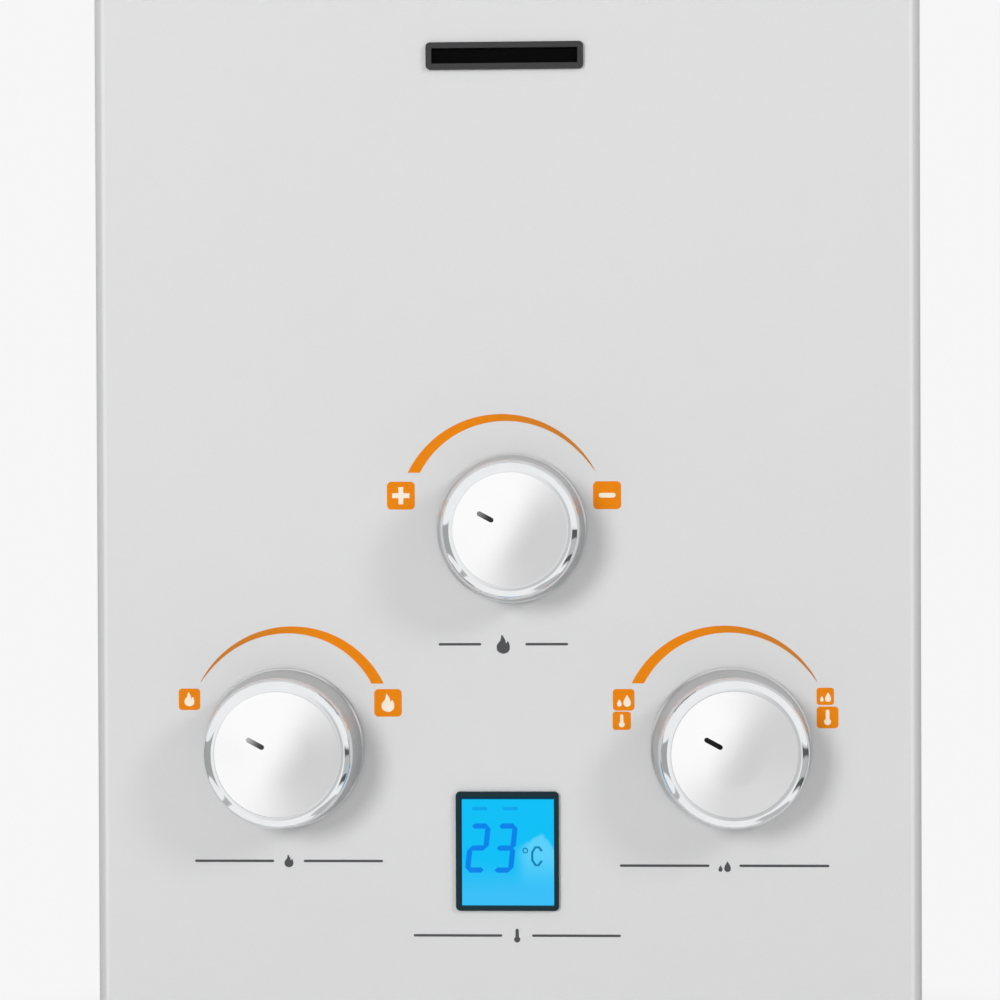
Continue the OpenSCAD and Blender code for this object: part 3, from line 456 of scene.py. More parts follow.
def lit_segments(name, colour, glow):
    """Darkened liquid-crystal segments over the backlight."""
    segment = Finish(name, {"Base Color": (0.0, 0.02, 0.05), "Roughness": 0.2,
                            "Specular IOR Level": 0.08, "Emission Strength": glow})
    fade = segment.noise(0.003)
    segment.feed({"Emission Color": segment.tones(fade, colour, 0.88, 1.1)})
    return segment


# Outlines on the panel, in millimetres, as lists of (x, z)


def circle(radius, steps=40, start=0.0, sweep=tau):
    angles = [start + sweep * i / steps for i in range(steps + (sweep < tau))]
    return [(radius * cos(angle), radius * sin(angle)) for angle in angles]


def rounded_square(width, height, radius):
    outline = []
    for turn, (sx, sz) in enumerate(((1, 1), (-1, 1), (-1, -1), (1, -1))):
        corner = circle(radius, 8, turn * pi / 2, pi / 2)
        outline += moved(corner, sx * (width / 2 - radius), sz * (height / 2 - radius))
    return outline


def bar(length, width):
    """A bar along x with round ends."""
    return rounded_square(length, width, width / 2 * 0.999)


def moved(outline, x, z):
    return [(px + x, pz + z) for px, pz in outline]


def scaled(outline, factor):
    return [(px * factor, pz * factor) for px, pz in outline]


def turned(outline, angle):
    return [(px * cos(angle) - pz * sin(angle), px * sin(angle) + pz * cos(angle)) for px, pz in outline]


def leaning(outline, lean):
    return [(px + pz * lean, pz) for px, pz in outline]


def smooth(points, steps=8):
    """A closed Catmull-Rom curve through the points."""
    count = len(points)
    curve = []
    for i in range(count):
        a, b, c, d = (Vector(points[(i + k - 1) % count]) for k in range(4))
        for k in range(steps):
            t = k / steps
            spot = b + (c - a) * (t / 2) + (2 * a - 5 * b + 4 * c - d) * (t * t / 2)
            curve.append(tuple(spot + (3 * b - a - 3 * c + d) * (t ** 3 / 2)))
    return curve


def stroke_outline(points, width):
    """The outline of an open line of even width."""
    left, right = [], []
    for i, point in enumerate(points):
        before, after = Vector(points[max(i - 1, 0)]), Vector(points[min(i + 1, len(points) - 1)])
        along = (after - before).normalized()
        side = Vector((-along.y, along.x)) * (width / 2)
        left.append(tuple(Vector(point) + side))
        right.append(tuple(Vector(point) - side))
    return left + right[::-1]


def drop(height):
    """A water drop with its point up."""
    angles = [tau * i / 40 for i in range(40)]
    return [(0.42 * height * sin(a) * sin(a / 2) ** 1.3, 0.5 * height * cos(a)) for a in angles]


def flame(height):
    """A two-tongued flame."""
    points = [(0.0, -0.5), (-0.3, -0.36), (-0.34, -0.05), (-0.16, 0.2), (-0.08, 0.5), (0.1, 0.22),
              (0.14, 0.04), (0.24, 0.16), (0.34, -0.1), (0.28, -0.38)]
    return scaled(smooth(points), height)


def thermometer(height):
    """A bulb below a stem with a round top."""
    bulb = circle(0.22, 24, radians(125), radians(290))
    stem = circle(0.12, 12, 0, pi)
    return scaled(moved(bulb, 0, -0.28) + moved(stem, 0, 0.38), height)


def cross(reach, half):
    """A cross whose arms end at reach from its middle and are twice half wide."""
    corners = [(half, reach), (-half, reach), (-half, half)]
    return [corner for quarter in range(4) for corner in turned(corners, quarter * pi / 2)]


PICTOGRAMS = {
    "plus": lambda size: [cross(0.31 * size, 0.62 / 7 * size)],
    "minus": lambda size: [bar(0.6 * size, 0.17 * size)],
    "flame": lambda size: [flame(0.66 * size)],
    "drops": lambda size: [moved(drop(0.56 * size), 0.16 * size, -0.04 * size),
                           moved(drop(0.34 * size), -0.2 * size, -0.14 * size)],
    "thermometer": lambda size: [thermometer(0.72 * size)],
}

# Symbol, x from the middle and height above the cover's bottom edge, width: all in millimetres
BADGES = [
    ("plus", -38.2, 212.0, 10.1), ("minus", 36.6, 211.9, 10.1),
    ("flame", -115.7, 138.1, 7.8), ("flame", -43.2, 136.75, 10.0),
    ("drops", 42.3, 137.8, 7.8), ("thermometer", 41.6, 130.2, 6.6),
    ("drops", 115.0, 139.0, 6.2), ("thermometer", 115.8, 131.4, 7.8),
]
# Middle and radius of each scale arc and whether its thick end is on the left, then their steps, the power
# of their taper and the width of their points
ARCS = [(-2.0, 203.9, 37.45, True), (-77.9, 127.6, 36.9, False), (78.4, 127.6, 36.9, True)]
ARC_STEPS, ARC_TAPER, ARC_POINT = 64, 0.65, 0.02
# Pictogram, middle, overall width and height of the printed rules that stand in for captions
CAPTIONS = [("flame", -1.2, 158.0, 47.0, 8.0), ("flame", -79.6, 79.2, 68.7, 5.4),
            ("drops", 78.5, 77.7, 75.6, 5.4), ("thermometer", 3.4, 52.2, 75.2, 5.4)]
# Width of a rule, and a badge's corner and a caption's pictogram as shares of their sizes
RULE_WIDTH, CORNER_SHARE, SYMBOL_SHARE = 0.9, 0.16, 1.3
# Segments, x and height of each digit, then x and height of each dash, from the window's middle
DIGITS = [("abged", -10.7, 1.1), ("abgcd", -0.9, 1.1)]
DIGIT_LEAN = 0.11
DASHES = [(-10.0, 15.4), (1.1, 15.4)]
DASH_LENGTH, DASH_WIDTH = 5.6, 1.2
# Degree sign: place and radii of its ring, then place, stroke and open line of its letter
RING_PLACE, RING_OUTER, RING_INNER = (6.5, 0.2), 1.05, 0.6
LETTER_PLACE, LETTER_STROKE = (10.8, -1.9), 0.85
LETTER = [(1.7, 1.9), (0.6, 3.3), (-0.7, 3.3), (-1.8, 1.4), (-1.8, -1.4), (-0.6, -3.2), (0.4, -3.3),
          (1.7, -1.6)]
SEGMENT_FILM = 0.04 * MM
# Place of each pointer's middle as a share of its cap's radius, and the grey of its ink at both ends
POINTERS = {"gas": (0.38, 0.06, 0.5), "water": (0.38, 0.01, 0.014), "saver": (0.48, 0.03, 0.26)}


# Pieces


def finish_piece(name, shape, finish, body, smooth_angle=None):
    """Turns a bmesh into a piece that rides on a body."""
    mesh = bpy.data.meshes.new(name)
    bmesh.ops.recalc_face_normals(shape, faces=shape.faces)
    shape.to_mesh(mesh)
    shape.free()
    mesh.materials.append(finish.material)
    if smooth_angle is not None:
        mesh.shade_smooth()
        mesh.set_sharp_from_angle(angle=radians(smooth_angle))
    piece = bpy.data.objects.new(name, mesh)
    bpy.context.scene.collection.objects.link(piece)
    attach(piece, body)
    return piece


def skin(shape, rings):
    """Joins rings of vertices with quads and closes the first and the last."""
    for one, other in zip(rings, rings[1:]):
        for i in range(len(one)):
            k = (i + 1) % len(one)
            shape.faces.new((one[i], one[k], other[k], other[i]))
    shape.faces.new(rings[0])
    shape.faces.new(rings[-1])


def raise_outline(shape, outline, foot_y, thickness):
    """Adds a flat prism to a bmesh; outline is in millimetres on the panel."""
    corners = [(x * MM, COVER_FOOT + z * MM) for x, z in outline]
    back = [shape.verts.new((x, foot_y, z)) for x, z in corners]
    front = [shape.verts.new((x, foot_y - thickness, z)) for x, z in corners]
    skin(shape, [back, front])
    return back + front


def printed(name, outlines, foot_y, thickness, finish, body="case"):
    shape = bmesh.new()
    for outline in outlines:
        raise_outline(shape, outline, foot_y, thickness)
    return finish_piece(name, shape, finish, body)


def segment_outline(letter, width, height, stroke):
    """One bar of a seven-segment digit, with pointed ends, about the digit's middle."""
    across = letter in "adg"
    reach = (width if across else height / 2) / 2 + 0.02 * stroke
    half = stroke / 2
    tip = reach - half
    hexagon = [(-reach, 0), (-tip, half), (tip, half), (reach, 0), (tip, -half), (-tip, -half)]
    side, level = {
        "a": (0, 1), "g": (0, 0), "d": (0, -1), "b": (1, 0.5), "c": (1, -0.5), "e": (-1, -0.5),
    }[letter]
    outline = hexagon if across else turned(hexagon, pi / 2)
    return moved(outline, side * width / 2, level * height / 2)


def lathe(rows, sides):
    """A closed skin through rows of (height, radius at angle), with its ends closed."""
    shape = bmesh.new()
    rings = []
    for height, radius in rows:
        ring = []
        for i in range(sides):
            angle = tau * i / sides
            reach = radius(angle) if callable(radius) else radius
            ring.append(shape.verts.new((reach * cos(angle), reach * sin(angle), height)))
        rings.append(ring)
    skin(shape, rings)
    return shape


def cross_screw(foot_r, face_r, shank):
    """A screw in millimetres with its face at 0 and its shank below, a tapered cross recess in its head."""
    head, shank_r, edge_r = 2, 1.8, face_r + 0.15 * (foot_r - face_r)
    rows = [(-head - shank, shank_r), (-head, shank_r), (-head, foot_r), (-0.3, edge_r), (0, face_r - 0.2)]
    shape = lathe([(height * MM, radius * MM) for height, radius in rows], 32)
    shape.faces.ensure_lookup_table()
    face = shape.faces[-1]
    rim = list(face.edges)
    bmesh.ops.delete(shape, geom=[face], context="FACES_ONLY")
    recess = cross(RECESS_REACH * MM, RECESS_HALF * MM)
    mouth = [shape.verts.new((x, y, 0)) for x, y in recess]
    floor = [shape.verts.new((x, y, -RECESS_DEPTH * MM)) for x, y in scaled(recess, RECESS_TAPER)]
    for i in range(len(recess)):
        k = (i + 1) % len(recess)
        shape.faces.new((mouth[i], mouth[k], floor[k], floor[i]))
        rim.append(shape.edges.get((mouth[i], mouth[k])))
    shape.faces.new(floor)
    bmesh.ops.triangle_fill(shape, use_beauty=True, edges=rim)
    return shape


def coil(low, high, wire, turns, steps=32, sides=12):
    """A round wire wound along X inside the box from low to high."""
    shape = bmesh.new()
    reach = (high.z - low.z) / 2 - wire
    middle = (low + high) / 2
    rings = []
    for i in range(turns * steps + 1):
        along = low.x + wire + (high.x - low.x - 2 * wire) * i / (turns * steps)
        turn = tau * i / steps
        ring = []
        for k in range(sides):
            round_wire = tau * k / sides
            out = reach + wire * cos(round_wire)
            ring.append(shape.verts.new((along + wire * sin(round_wire), middle.y + out * cos(turn),
                                         middle.z + out * sin(turn))))
        rings.append(ring)
    skin(shape, rings)
    return shape


# Settings


def colour_setting(name, description, default):
    return FloatVectorProperty(name=name, description=description, default=default, size=3,
                               subtype="COLOR", min=0.0, max=1.0)


def number_setting(name, description, default, **limits):
    return FloatProperty(name=name, description=description, default=default, **limits)


def length_setting(name, description, default):
    return number_setting(name, description, default, min=0.0, unit="LENGTH", precision=5)


def share_setting(name, description, default):
    return number_setting(name, description, default, min=0.0, max=1.0, subtype="FACTOR")


class HeaterCase(bpy.types.PropertyGroup):
    paint: colour_setting("Paint", "Colour of the cover's paint", (0.70, 0.70, 0.705))
    paint_roughness: share_setting("Paint roughness", "How dull the paint is", 0.42)
    # Painted highlight on the paint where a fold begins
    painted_fold_highlight: number_setting("Fold crest", "Shade of the paint where a fold begins", 1.07, min=0.0)
    # Painted shade on the paint round a fold
    painted_fold_shade: number_setting("Fold shade", "Shade of the paint round a fold", 0.87, min=0.0)
    zinc: colour_setting("Zinc", "Colour of the galvanised sheet", (0.6, 0.61, 0.62))
    plating: colour_setting("Plating", "Colour of the plated screws and brackets", (0.66, 0.66, 0.63))


class HeaterPrint(bpy.types.PropertyGroup):
    orange: colour_setting("Orange", "Colour of the scale arcs and badges", (0.82, 0.235, 0.006))
    thin_orange: colour_setting("Thin orange", "Colour of an arc's thin end", (0.58, 0.2, 0.025))
    cream: colour_setting("Cream", "Colour of the pictograms", (0.92, 0.83, 0.68))
    grey: colour_setting("Grey", "Colour of the printed rules", (0.09, 0.09, 0.095))
    film: length_setting("Film", "Thickness of the print", 0.00005)
    arc_width: length_setting("Arc width", "Width of an arc's thick end", 0.0040)
    arc_flare: length_setting("Arc flare", "How far an arc's thin end leaves its circle", 0.0008)
    arc_reach: number_setting("Arc reach", "Angle from top to end of an arc", radians(64), subtype="ANGLE")


class HeaterKnobs(bpy.types.PropertyGroup):
    chrome: colour_setting("Chrome", "Colour of a skirt's bright edge", (0.83, 0.84, 0.85))
    # Partly satin plating, partly painted shade of the panel that the wall mirrors
    wall: colour_setting("Wall", "Colour of a skirt's satin wall", (0.57, 0.575, 0.58))
    bright_edge: length_setting("Bright edge", "Depth of a skirt's bright edge", 0.0042)
    cap: colour_setting("Cap", "Colour of the knob caps", (0.985, 0.985, 0.985))
    cap_roughness: share_setting("Cap roughness", "How dull the caps are", 0.18)
    tip_round: length_setting("Tip round", "Radius to which a cap's tip is rubbed round", 0.012)
    cap_lean: number_setting("Cap lean", "How many times steeper a cap shades than it stands", 2.5, min=1.0)
    pointer_fill: length_setting("Pointer fill", "Depth of ink in a pointer", 0.00028)


class HeaterDisplay(bpy.types.PropertyGroup):
    backlight: colour_setting("Backlight", "Colour of the lit window", (0.0015, 0.545, 0.96))
    foot_light: colour_setting("Foot light", "Backlight along the bottom", (0.045, 0.545, 0.97))
    cloud_light: colour_setting("Cloud light", "Backlight in the pale patch", (0.13, 0.68, 1.0))
    digit: colour_setting("Digit", "Colour of the digits", (0.0005, 0.225, 0.84))
    faint: colour_setting("Faint", "Colour of the two unlit dashes", (0.001, 0.4, 0.88))
    unit: colour_setting("Unit", "Colour of the degree sign", (0.004, 0.22, 0.42))
    glow: number_setting("Glow", "Strength of the backlight", 0.92, min=0.0)
    digit_height: length_setting("Digit height", "Height of a digit", 0.0160)
    digit_width: length_setting("Digit width", "Width of a digit", 0.0058)
    stroke: length_setting("Stroke", "Width of a segment", 0.0019)


class HeaterWorks(bpy.types.PropertyGroup):
    copper: colour_setting("Copper", "Colour of the tubes and fins", (0.72, 0.38, 0.25))
    brass: colour_setting("Brass", "Colour of the valves and fittings", (0.76, 0.58, 0.28))
    aluminium: colour_setting("Aluminium", "Colour of the castings", (0.62, 0.62, 0.63))
    thread_pitch: length_setting("Thread pitch", "Pitch of the pipe threads", 0.001814)
    thread_depth: length_setting("Thread depth", "Depth of the pipe threads", 0.00116)
    sides: IntProperty(name="Sides", description="Facets round a threaded fitting", default=72, min=24)
    spring_wire: length_setting("Spring wire", "Radius of the return spring's wire", 0.0006)
    spring_turns: IntProperty(name="Spring turns", description="Turns of the spring", default=7, min=2)


class HeaterStage(bpy.types.PropertyGroup):
    eye: FloatVectorProperty(name="Eye", description="Place of the camera", size=3, unit="LENGTH",
                             default=(0.0312, -1.065, -0.0413))
    target: FloatVectorProperty(name="Target", description="Point in the middle of the picture", size=3,
                                unit="LENGTH", default=(-0.0022, FACE_Y, -0.0497))
    roll: number_setting("Roll", "Turn of the camera about its view", radians(-0.23), subtype="ANGLE")
    view_width: length_setting("View width", "Width of the picture at the panel", 0.3624)
    floor_gap: length_setting("Floor gap", "Room under the pipe ends for the open battery door", 0.065)
    floor: colour_setting("Floor", "Colour of the floor", (0.9, 0.9, 0.9))
    backdrop: colour_setting("Backdrop", "Colour behind the heater", (0.925, 0.925, 0.925))
    dim_side: share_setting("Dim side", "Brightness of the room's lower right in bright metal", 0.63)
    sky: number_setting("Sky", "Strength of the even light", 0.575, min=0.0)
    key: number_setting("Key light", "Power of the light on the upper left", 20.6, min=0.0, subtype="POWER")
    fill: number_setting("Fill light", "Power of the light on the right", 6.3, min=0.0, subtype="POWER")


# Place and diameter of each lamp, and the point that both face
LAMPS = {"key": ((-0.93, -2.05, 0.44), 0.75), "fill": ((1.15, -1.1, 0.62), 0.42)}
LAMP_AIM = (0, FACE_Y, -0.03)

SETTINGS = {
    "heater_case": HeaterCase, "heater_print": HeaterPrint, "heater_knobs": HeaterKnobs,
    "heater_display": HeaterDisplay, "heater_works": HeaterWorks, "heater_stage": HeaterStage,
}


# Operators


class HEATER_OT_case(bpy.types.Operator):
    """Finish the cover, the sheet-metal plates and their screws"""

    bl_idname = "heater.case"
    bl_label = "Case"

    def execute(self, context):
        case = context.scene.heater_case
        dress(cover_paint(case), "case_paint")
        dress(galvanised(case), "galvanised")
        plating = plated_steel("zinc plating", case.plating, 0.28)
        dress(plating, "zinc_steel")
        self.screws(plating)
        return {"FINISHED"}

    def screws(self, plating):
        """Stands screws with a cross recess where the CAD ones are, on the sides and under the foot."""
        groups = []
        for vertex in NODES["cover_screws"].data.vertices:
            group = next((points for points in groups if (points[0] - vertex.co).length < SCREW_ROOM), None)
            if group is None:
                groups.append([vertex.co])
            else:
                group.append(vertex.co)
        shape = bmesh.new()
        for points in groups:
            low, high = Vector(map(min, *points)), Vector(map(max, *points))
            middle = (low + high) / 2
            at_side = middle.z > COVER_FOOT + SCREW_ROOM
            out = Vector((copysign(1, middle.x), 0, 0) if at_side else (0, 0, -1))
            tip = middle + out * abs(out.dot(high - low)) / 2
            screw = cross_screw(*(SIDE_SCREW if at_side else FOOT_SCREW))
            screw.transform(Matrix.Translation(tip) @ out.to_track_quat("Z", "Y").to_matrix().to_4x4())
            mesh = bpy.data.meshes.new("screw")
            screw.to_mesh(mesh)
            screw.free()
            shape.from_mesh(mesh)
            bpy.data.meshes.remove(mesh)
        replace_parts(finish_piece("cross_screws", shape, plating, "case", 40), "cover_screws")


class HEATER_OT_print(bpy.types.Operator):
    """Print the scale arcs, the badges and the rules on the cover"""

    bl_idname = "heater.print"
    bl_label = "Panel print"

    def execute(self, context):
        look = context.scene.heater_print
        self.arcs(look)
        orange = ink("orange ink", look.orange)
        cream = ink("cream ink", look.cream)
        squares = [moved(rounded_square(size, size, CORNER_SHARE * size), x, z) for _, x, z, size in BADGES]
        printed("badge_squares", squares, FACE_Y, look.film, orange)
        marks = [moved(outline, x, z) for kind, x, z, size in BADGES for outline in PICTOGRAMS[kind](size)]
        printed("badge_pictograms", marks, FACE_Y - look.film, look.film, cream)
        grey = ink("grey ink", look.grey)
        for index, (kind, x, z, width, height) in enumerate(CAPTIONS):
            rule = width / 2 - height
            rules = [moved(bar(rule, RULE_WIDTH), x + side * (rule / 2 + height), z) for side in (-1, 1)]
            symbol = [moved(outline, x, z) for outline in PICTOGRAMS[kind](SYMBOL_SHARE * height)]
            printed(f"caption_rules_{index}", rules + symbol, FACE_Y, look.film, grey)
        return {"FINISHED"}

    def arcs(self, look):
        """Arcs that taper to a point and are cut level at their thick end."""
        shape = bmesh.new()
        layer = shape.verts.layers.float.new("thickness")
        shares = [1 - i / ARC_STEPS for i in range(ARC_STEPS + 1)]
        for x, z, radius, thick_left in ARCS:
            side = -1 if thick_left else 1
            outer, inner = [], []
            for share in shares:
                edge = radius + look.arc_flare / MM * (1 - share) ** 3
                depth = edge - look.arc_width / MM * share ** ARC_TAPER - ARC_POINT
                lean = look.arc_reach * (2 * share - 1)
                inside = min(lean, acos(cos(look.arc_reach) * radius / depth))
                outer.append((x + side * edge * sin(lean), z + edge * cos(lean)))
                inner.append((x + side * depth * sin(inside), z + depth * cos(inside)))
            verts = raise_outline(shape, outer + inner[::-1], FACE_Y, look.film)
            for vert, share in zip(verts, (shares + shares[::-1]) * 2):
                vert[layer] = share
        finish_piece("scale_arcs", shape, tapered_ink(look), "case")


class HEATER_OT_knobs(bpy.types.Operator):
    """Finish the knobs and ink their pointers"""

    bl_idname = "heater.knobs"
    bl_label = "Knobs"

    def execute(self, context):
        knobs = context.scene.heater_knobs
        dress(chrome(knobs), "knob_chrome")
        dress(plated_steel("spindle steel", (0.55, 0.55, 0.56), 0.3), "spindle_steel")
        for name in POINTERS:
            centre = Vector(JOINTS[f"{name}_turn"]["pos_m"])
            low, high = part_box(f"{name}_cap")
            radius = (high.x - low.x) / 2
            coat(f"{name}_cap", satin_cap(f"{name} cap", knobs, centre, CAP_RISE * MM / radius))
            self.pointer(name, centre, low.y, radius, knobs)
        return {"FINISHED"}

    def pointer(self, name, centre, front, radius, knobs):
        """Ink on the floor of the sunken pointer that the CAD cap has, with a little room round it."""
        reach, *greys = POINTERS[name]
        across, room = radius / MM, 0.06
        outline = moved(bar(POINTER_SHARE * across - room, POINTER_WIDTH - room), reach * across, 0)
        place = moved(turned(outline, POINTER_SLANT), centre.x / MM, (centre.z - COVER_FOOT) / MM)
        floor_y = front + (CAP_RISE * (reach + POINTER_SHARE / 2) + POINTER_DEPTH) * MM
        grey_shift = (reach - 0.1) * radius, (reach + 0.2) * radius
        finish = pointer_ink(f"{name} pointer ink", centre, grey_shift, greys)
        printed(f"{name}_pointer", [place], floor_y, knobs.pointer_fill, finish,
                f"{name}_control")


class HEATER_OT_display(bpy.types.Operator):
    """Finish the display, its bezel and its segments"""

    bl_idname = "heater.display"
    bl_label = "Display"

    def execute(self, context):
        display = context.scene.heater_display
        dress(lit_window(display), "display_lit")
        dark = {"Specular IOR Level": 0.15}
        dress(moulded("display bezel", (0.008, 0.026, 0.034), 0.35, constants=dark), "bezel_dark")
        low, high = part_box("display_window")
        x = (low.x + high.x) / 2 / MM
        z = ((low.z + high.z) / 2 - COVER_FOOT) / MM
        height, width, stroke = display.digit_height / MM, display.digit_width / MM, display.stroke / MM
        digits = []
        for letters, right, up in DIGITS:
            bars = [segment_outline(letter, width, height, stroke) for letter in letters]
            digits += [moved(leaning(outline, DIGIT_LEAN), right, up) for outline in bars]
        dashes = [moved(bar(DASH_LENGTH, DASH_WIDTH), right, up) for right, up in DASHES]
        ring = [circle(RING_OUTER, 24, a, pi) + circle(RING_INNER, 24, a, pi)[::-1] for a in (0, pi)]
        sign = [moved(outline, *RING_PLACE) for outline in ring]
        sign.append(moved(stroke_outline(LETTER, LETTER_STROKE), *LETTER_PLACE))
        pieces = [("display_digits", "digit", digits), ("display_dashes", "faint", dashes),
                  ("display_unit", "unit", sign)]
        for name, kind, outlines in pieces:
            finish = lit_segments(f"{kind} segments", getattr(display, kind), display.glow)
            outlines = [moved(outline, x, z) for outline in outlines]
            printed(name, outlines, low.y, SEGMENT_FILM, finish)
        return {"FINISHED"}


class HEATER_OT_sight_slot(bpy.types.Operator):
    """Finish the flame sight slot"""

    bl_idname = "heater.sight_slot"
    bl_label = "Sight slot"

    def execute(self, context):
        dress(moulded("slot bezel", (0.024, 0.024, 0.025), 0.4), "slot_grey")
        pane = {"Specular IOR Level": 0.03}
        dress(moulded("sight pane", (0.0015, 0.0015, 0.0015), 0.16, 0.004, 0.00001, pane), "sight_glass")
        dress(mica(), "mica")
        return {"FINISHED"}


class HEATER_OT_fittings(bpy.types.Operator):
    """Cut the pipe threads and hexagons of the fittings under the case"""

    bl_idname = "heater.fittings"
    bl_label = "Pipe fittings"

    def execute(self, context):
        works = context.scene.heater_works
        metal = brass(works)
        dress(metal, "brass")
        for name in ("hot_outlet", "gas_inlet", "cold_inlet"):
            self.fitting(name, works, metal)
        return {"FINISHED"}

    def fitting(self, name, works, metal):
        low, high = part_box(name)
        mount = MOUNTS[name]["dims"]
        crest = mount["r_mm"] * MM
        hex_low = low.z + mount["length_mm"] * MM
        hex_high = hex_low + HEX_HEIGHT * MM
        flat = (high.y - low.y) / 2
        bore, bore_top = BORE_RADIUS * MM, hex_high + BORE_ABOVE_HEX * MM
        neck, chamfer, lead_in = crest - 0.5 * MM, 0.9 * MM, 1.2 * MM

        def hexagon(angle):
            return flat / cos((angle + pi / 6) % (pi / 3) - pi / 6)

        def chamfered(angle):
            return min(hexagon(angle), flat * 1.03)

        def thread(height):
            into = min(1.0, (height - low.z) / lead_in)

            def radius(angle):
                turn = (height - low.z) / works.thread_pitch - angle / tau
                lift = 0.5 + 0.5 * cos(tau * turn)
                return crest - works.thread_depth * (1 - lift * into)

            return radius

        steps = ceil((hex_low - low.z) / works.thread_pitch * THREAD_ROWS)
        rows = [(bore_top, bore), (low.z, bore)]
        rows += [(z, thread(z)) for z in (low.z + (hex_low - low.z) * i / steps for i in range(steps + 1))]
        rows += [(hex_low, chamfered), (hex_low + chamfer, hexagon), (hex_high - chamfer, hexagon),
                 (hex_high, chamfered), (hex_high, neck), (high.z, neck)]
        shape = lathe(rows, works.sides)
        middle = Vector(((low.x + high.x) / 2, (low.y + high.y) / 2, 0))
        bmesh.ops.translate(shape, verts=shape.verts, vec=middle)
        piece = finish_piece(f"{name}_fitting", shape, metal, "case", 35)
        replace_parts(piece, name)


class HEATER_OT_works(bpy.types.Operator):
    """Finish the burner, the exchanger, the valves and the electrical pieces"""

    bl_idname = "heater.works"
    bl_label = "Inner works"

    def execute(self, context):
        works = context.scene.heater_works
        burner_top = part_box("burner_frame")[1].z
        dress(copper(works), "copper")
        dress(cast_aluminium(works), "cast_aluminium")
        dress(brushed_steel("stainless steel", (0.56, 0.56, 0.56), burner_top), "stainless")
        dress(moulded("black plastic", (0.022, 0.022, 0.024), 0.5), "black_plastic")
        dress(moulded("white plastic", (0.78, 0.78, 0.75), 0.45), "white_plastic")
        dress(moulded("red plastic", (0.55, 0.03, 0.025), 0.3), "red_plastic")
        glaze = {"Coat Weight": 0.8, "Coat Roughness": 0.06}
        dress(moulded("glazed ceramic", (0.84, 0.81, 0.74), 0.3, 0.002, 0.00001, glaze), "insulator")
        dress(moulded("seal rubber", (0.02, 0.02, 0.02), 0.7, 0.001, 0.00004), "seal_rubber")
        dress(braided_sleeve(), "loom_sleeve")
        dress(cell_wrap(works), "cell_wrap")
        self.spring(works)
        return {"FINISHED"}

    def spring(self, works):
        """Winds a return spring in place of the CAD one."""
        low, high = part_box("return_spring")
        wire = plated_steel("spring wire", (0.5, 0.5, 0.5), 0.25)
        shape = coil(low, high, works.spring_wire, works.spring_turns)
        piece = finish_piece("spring_coil", shape, wire, "case", 60)
        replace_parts(piece, "return_spring")
        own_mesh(piece)


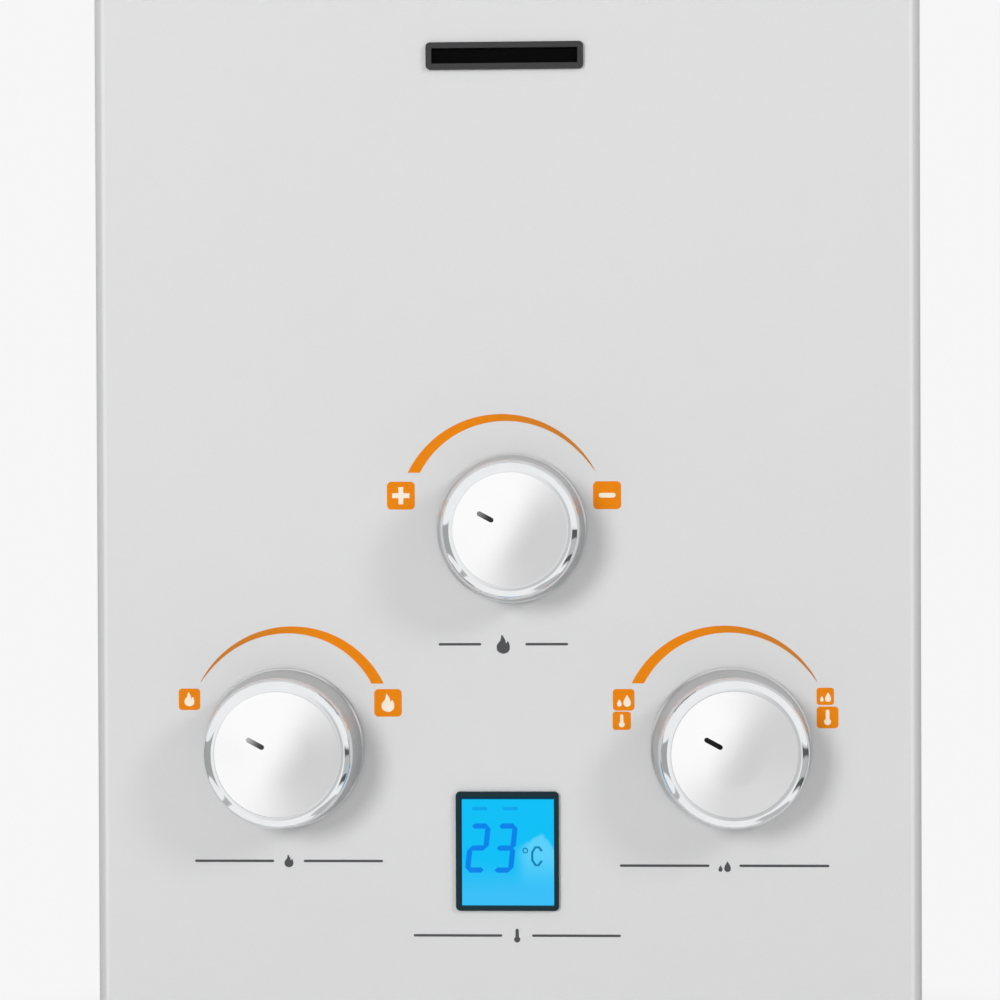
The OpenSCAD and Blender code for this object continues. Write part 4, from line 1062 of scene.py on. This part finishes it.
class HEATER_OT_stage(bpy.types.Operator):
    """Set the floor, the lights, the backdrop and the camera"""

    bl_idname = "heater.stage"
    bl_label = "Stage"

    def execute(self, context):
        stage = context.scene.heater_stage
        context.scene.view_settings.view_transform = "Standard"
        self.floor(stage)
        self.world(context.scene, stage)
        for name, (place, size) in LAMPS.items():
            self.light(f"{name}_light", place, size, getattr(stage, name))
        self.camera(context.scene, stage)
        return {"FINISHED"}

    def floor(self, stage):
        level = CAD_BOX[0][2] - stage.floor_gap
        shape = bmesh.new()
        bmesh.ops.create_grid(shape, x_segments=2, y_segments=2, size=FLOOR_REACH)
        mesh = bpy.data.meshes.new("floor")
        shape.to_mesh(mesh)
        shape.free()
        floor = bpy.data.objects.new("floor", mesh)
        floor.location = (0, 0, level)
        floor.visible_glossy = False
        bpy.context.scene.collection.objects.link(floor)
        surface = Finish("floor")
        mottle = surface.noise(0.4)
        surface.lay(surface.tones(mottle, stage.floor, 0.99, 1.01), 0.7 + mottle * 0.1)
        glow = surface.node("ShaderNodeEmission", sockets={"Color": stage.backdrop, "Strength": 1.0})
        away = surface.vector("LENGTH", surface.place, out="Value")
        seen = surface.node("ShaderNodeLightPath", out="Is Camera Ray")
        share = seen * (0.5 + away.step(0.25, 0.5) * 0.5)
        surface.cover(share, glow)
        below = surface.node("ShaderNodeNewGeometry", out="Backfacing")
        surface.cover(below, surface.node("ShaderNodeBsdfTransparent"))
        mesh.materials.append(surface.material)

    def world(self, scene, stage):
        world = bpy.data.worlds.new("studio")
        world.use_nodes = True
        scene.world = world
        world.node_tree.nodes.clear()
        tree = Tree(world.node_tree)
        way = tree.node("ShaderNodeTexCoord", out="Generated")
        ahead, above = 0 - way.axis("Y"), way.axis("Z")
        share = 0.23 + ahead.step(0.1, 0.95) * 0.37 + (0 - ahead).step(0.2, 0.9) * 0.24
        share = share + above.step(0.2, 0.95) * 0.48

        def grey(level):
            return tree.mix(level, (0, 0, 0), (1, 1, 1))

        def light(colour, strength=1.0):
            return tree.node("ShaderNodeBackground", sockets={"Color": colour, "Strength": strength})

        even = light(grey(share), stage.sky)
        pale = light(stage.backdrop)
        mirrored = light(grey(self.room_shade(tree, stage)))
        path = {ray: tree.node("ShaderNodeLightPath", out=f"Is {ray} Ray")
                for ray in ("Camera", "Transmission", "Glossy")}
        seen = path["Camera"] + path["Transmission"]
        both = tree.blend(path["Glossy"], even, mirrored)
        tree.node("ShaderNodeOutputWorld", sockets={"Surface": tree.blend(seen.step(0.4, 0.6), both, pale)})

    def room_shade(self, tree, stage):
        """What bright metal mirrors: a white room, dim right of the camera, dark stands at its sides."""
        way = tree.node("ShaderNodeTexCoord", out="Generated")
        across, back, rise = way.axis("X"), way.axis("Y"), way.axis("Z")
        lit = (rise * 0.5 - across * 0.87).step(-0.25, 0.14)
        near = 1 - back.step(-0.92, -0.8)
        left = (0 - across).step(0.5, 0.58) * rise.band(-0.16, 0.19, 0.23)
        right = across.step(0.6, 0.7)
        card = right * rise.band(-0.27, 0.24, 0.3)
        posts = right * (rise.band(-0.09, 0.04, 0.07) + rise.band(-0.45, 0.04, 0.07))
        low_card = across.step(0.25, 0.35) * rise.band(-0.8, 0.1, 0.14)
        foot = (0 - across).step(0.42, 0.5) * (rise * 0.73 - across * 0.68).band(0, 0.03, 0.06)
        shade = (1 - near * (1 - lit) * (1 - stage.dim_side)) * (1 - back.step(0.1, 0.5) * 0.3)
        for stand, dark in ((left, 0.58), (card, 0.45), (posts, 0.8), (low_card, 0.45), (foot, 0.5)):
            shade = shade * (1 - stand * dark)
        return shade

    def light(self, name, place, size, power):
        lamp = bpy.data.lights.new(name, "AREA")
        lamp.shape = "DISK"
        lamp.size = size
        lamp.energy = power
        light = bpy.data.objects.new(name, lamp)
        light.location = place
        light.visible_glossy = False
        aim = Vector(LAMP_AIM) - Vector(place)
        light.rotation_euler = aim.to_track_quat("-Z", "Y").to_euler()
        bpy.context.scene.collection.objects.link(light)

    def camera(self, scene, stage):
        lens = bpy.data.cameras.new("camera")
        lens.sensor_fit = "HORIZONTAL"
        eye, target = Vector(stage.eye), Vector(stage.target)
        lens.lens = lens.sensor_width * (target - eye).length / stage.view_width
        camera = bpy.data.objects.new("camera", lens)
        facing = (target - eye).to_track_quat("-Z", "Y").to_matrix()
        turn = Matrix.Rotation(stage.roll, 3, "Z")
        camera.matrix_world = Matrix.Translation(eye) @ (facing @ turn).to_4x4()
        scene.collection.objects.link(camera)
        scene.camera = camera


OPERATORS = (
    HEATER_OT_case, HEATER_OT_print, HEATER_OT_knobs, HEATER_OT_display, HEATER_OT_sight_slot,
    HEATER_OT_fittings, HEATER_OT_works, HEATER_OT_stage,
)


class HEATER_PT_panel(bpy.types.Panel):
    """Heater finishes, listed in the order that they run"""

    bl_idname = "HEATER_PT_panel"
    bl_label = "Water heater"
    bl_space_type = "VIEW_3D"
    bl_region_type = "UI"
    bl_category = "Heater"

    def draw(self, context):
        for operator in OPERATORS:
            self.layout.operator(operator.bl_idname)
        for name, group in SETTINGS.items():
            box = self.layout.box()
            for setting in group.__annotations__:
                box.prop(getattr(context.scene, name), setting)


CLASSES = (*SETTINGS.values(), *OPERATORS, HEATER_PT_panel)


def register():
    for cls in CLASSES:
        bpy.utils.register_class(cls)
    for name, group in SETTINGS.items():
        setattr(bpy.types.Scene, name, PointerProperty(type=group))


def unregister():
    for name in SETTINGS:
        delattr(bpy.types.Scene, name)
    for cls in reversed(CLASSES):
        bpy.utils.unregister_class(cls)


def main():
    register()
    bpy.ops.heater.case()
    bpy.ops.heater.print()
    bpy.ops.heater.knobs()
    bpy.ops.heater.display()
    bpy.ops.heater.sight_slot()
    bpy.ops.heater.fittings()
    bpy.ops.heater.works()
    bpy.ops.heater.stage()


if __name__ == "__main__":
    main()
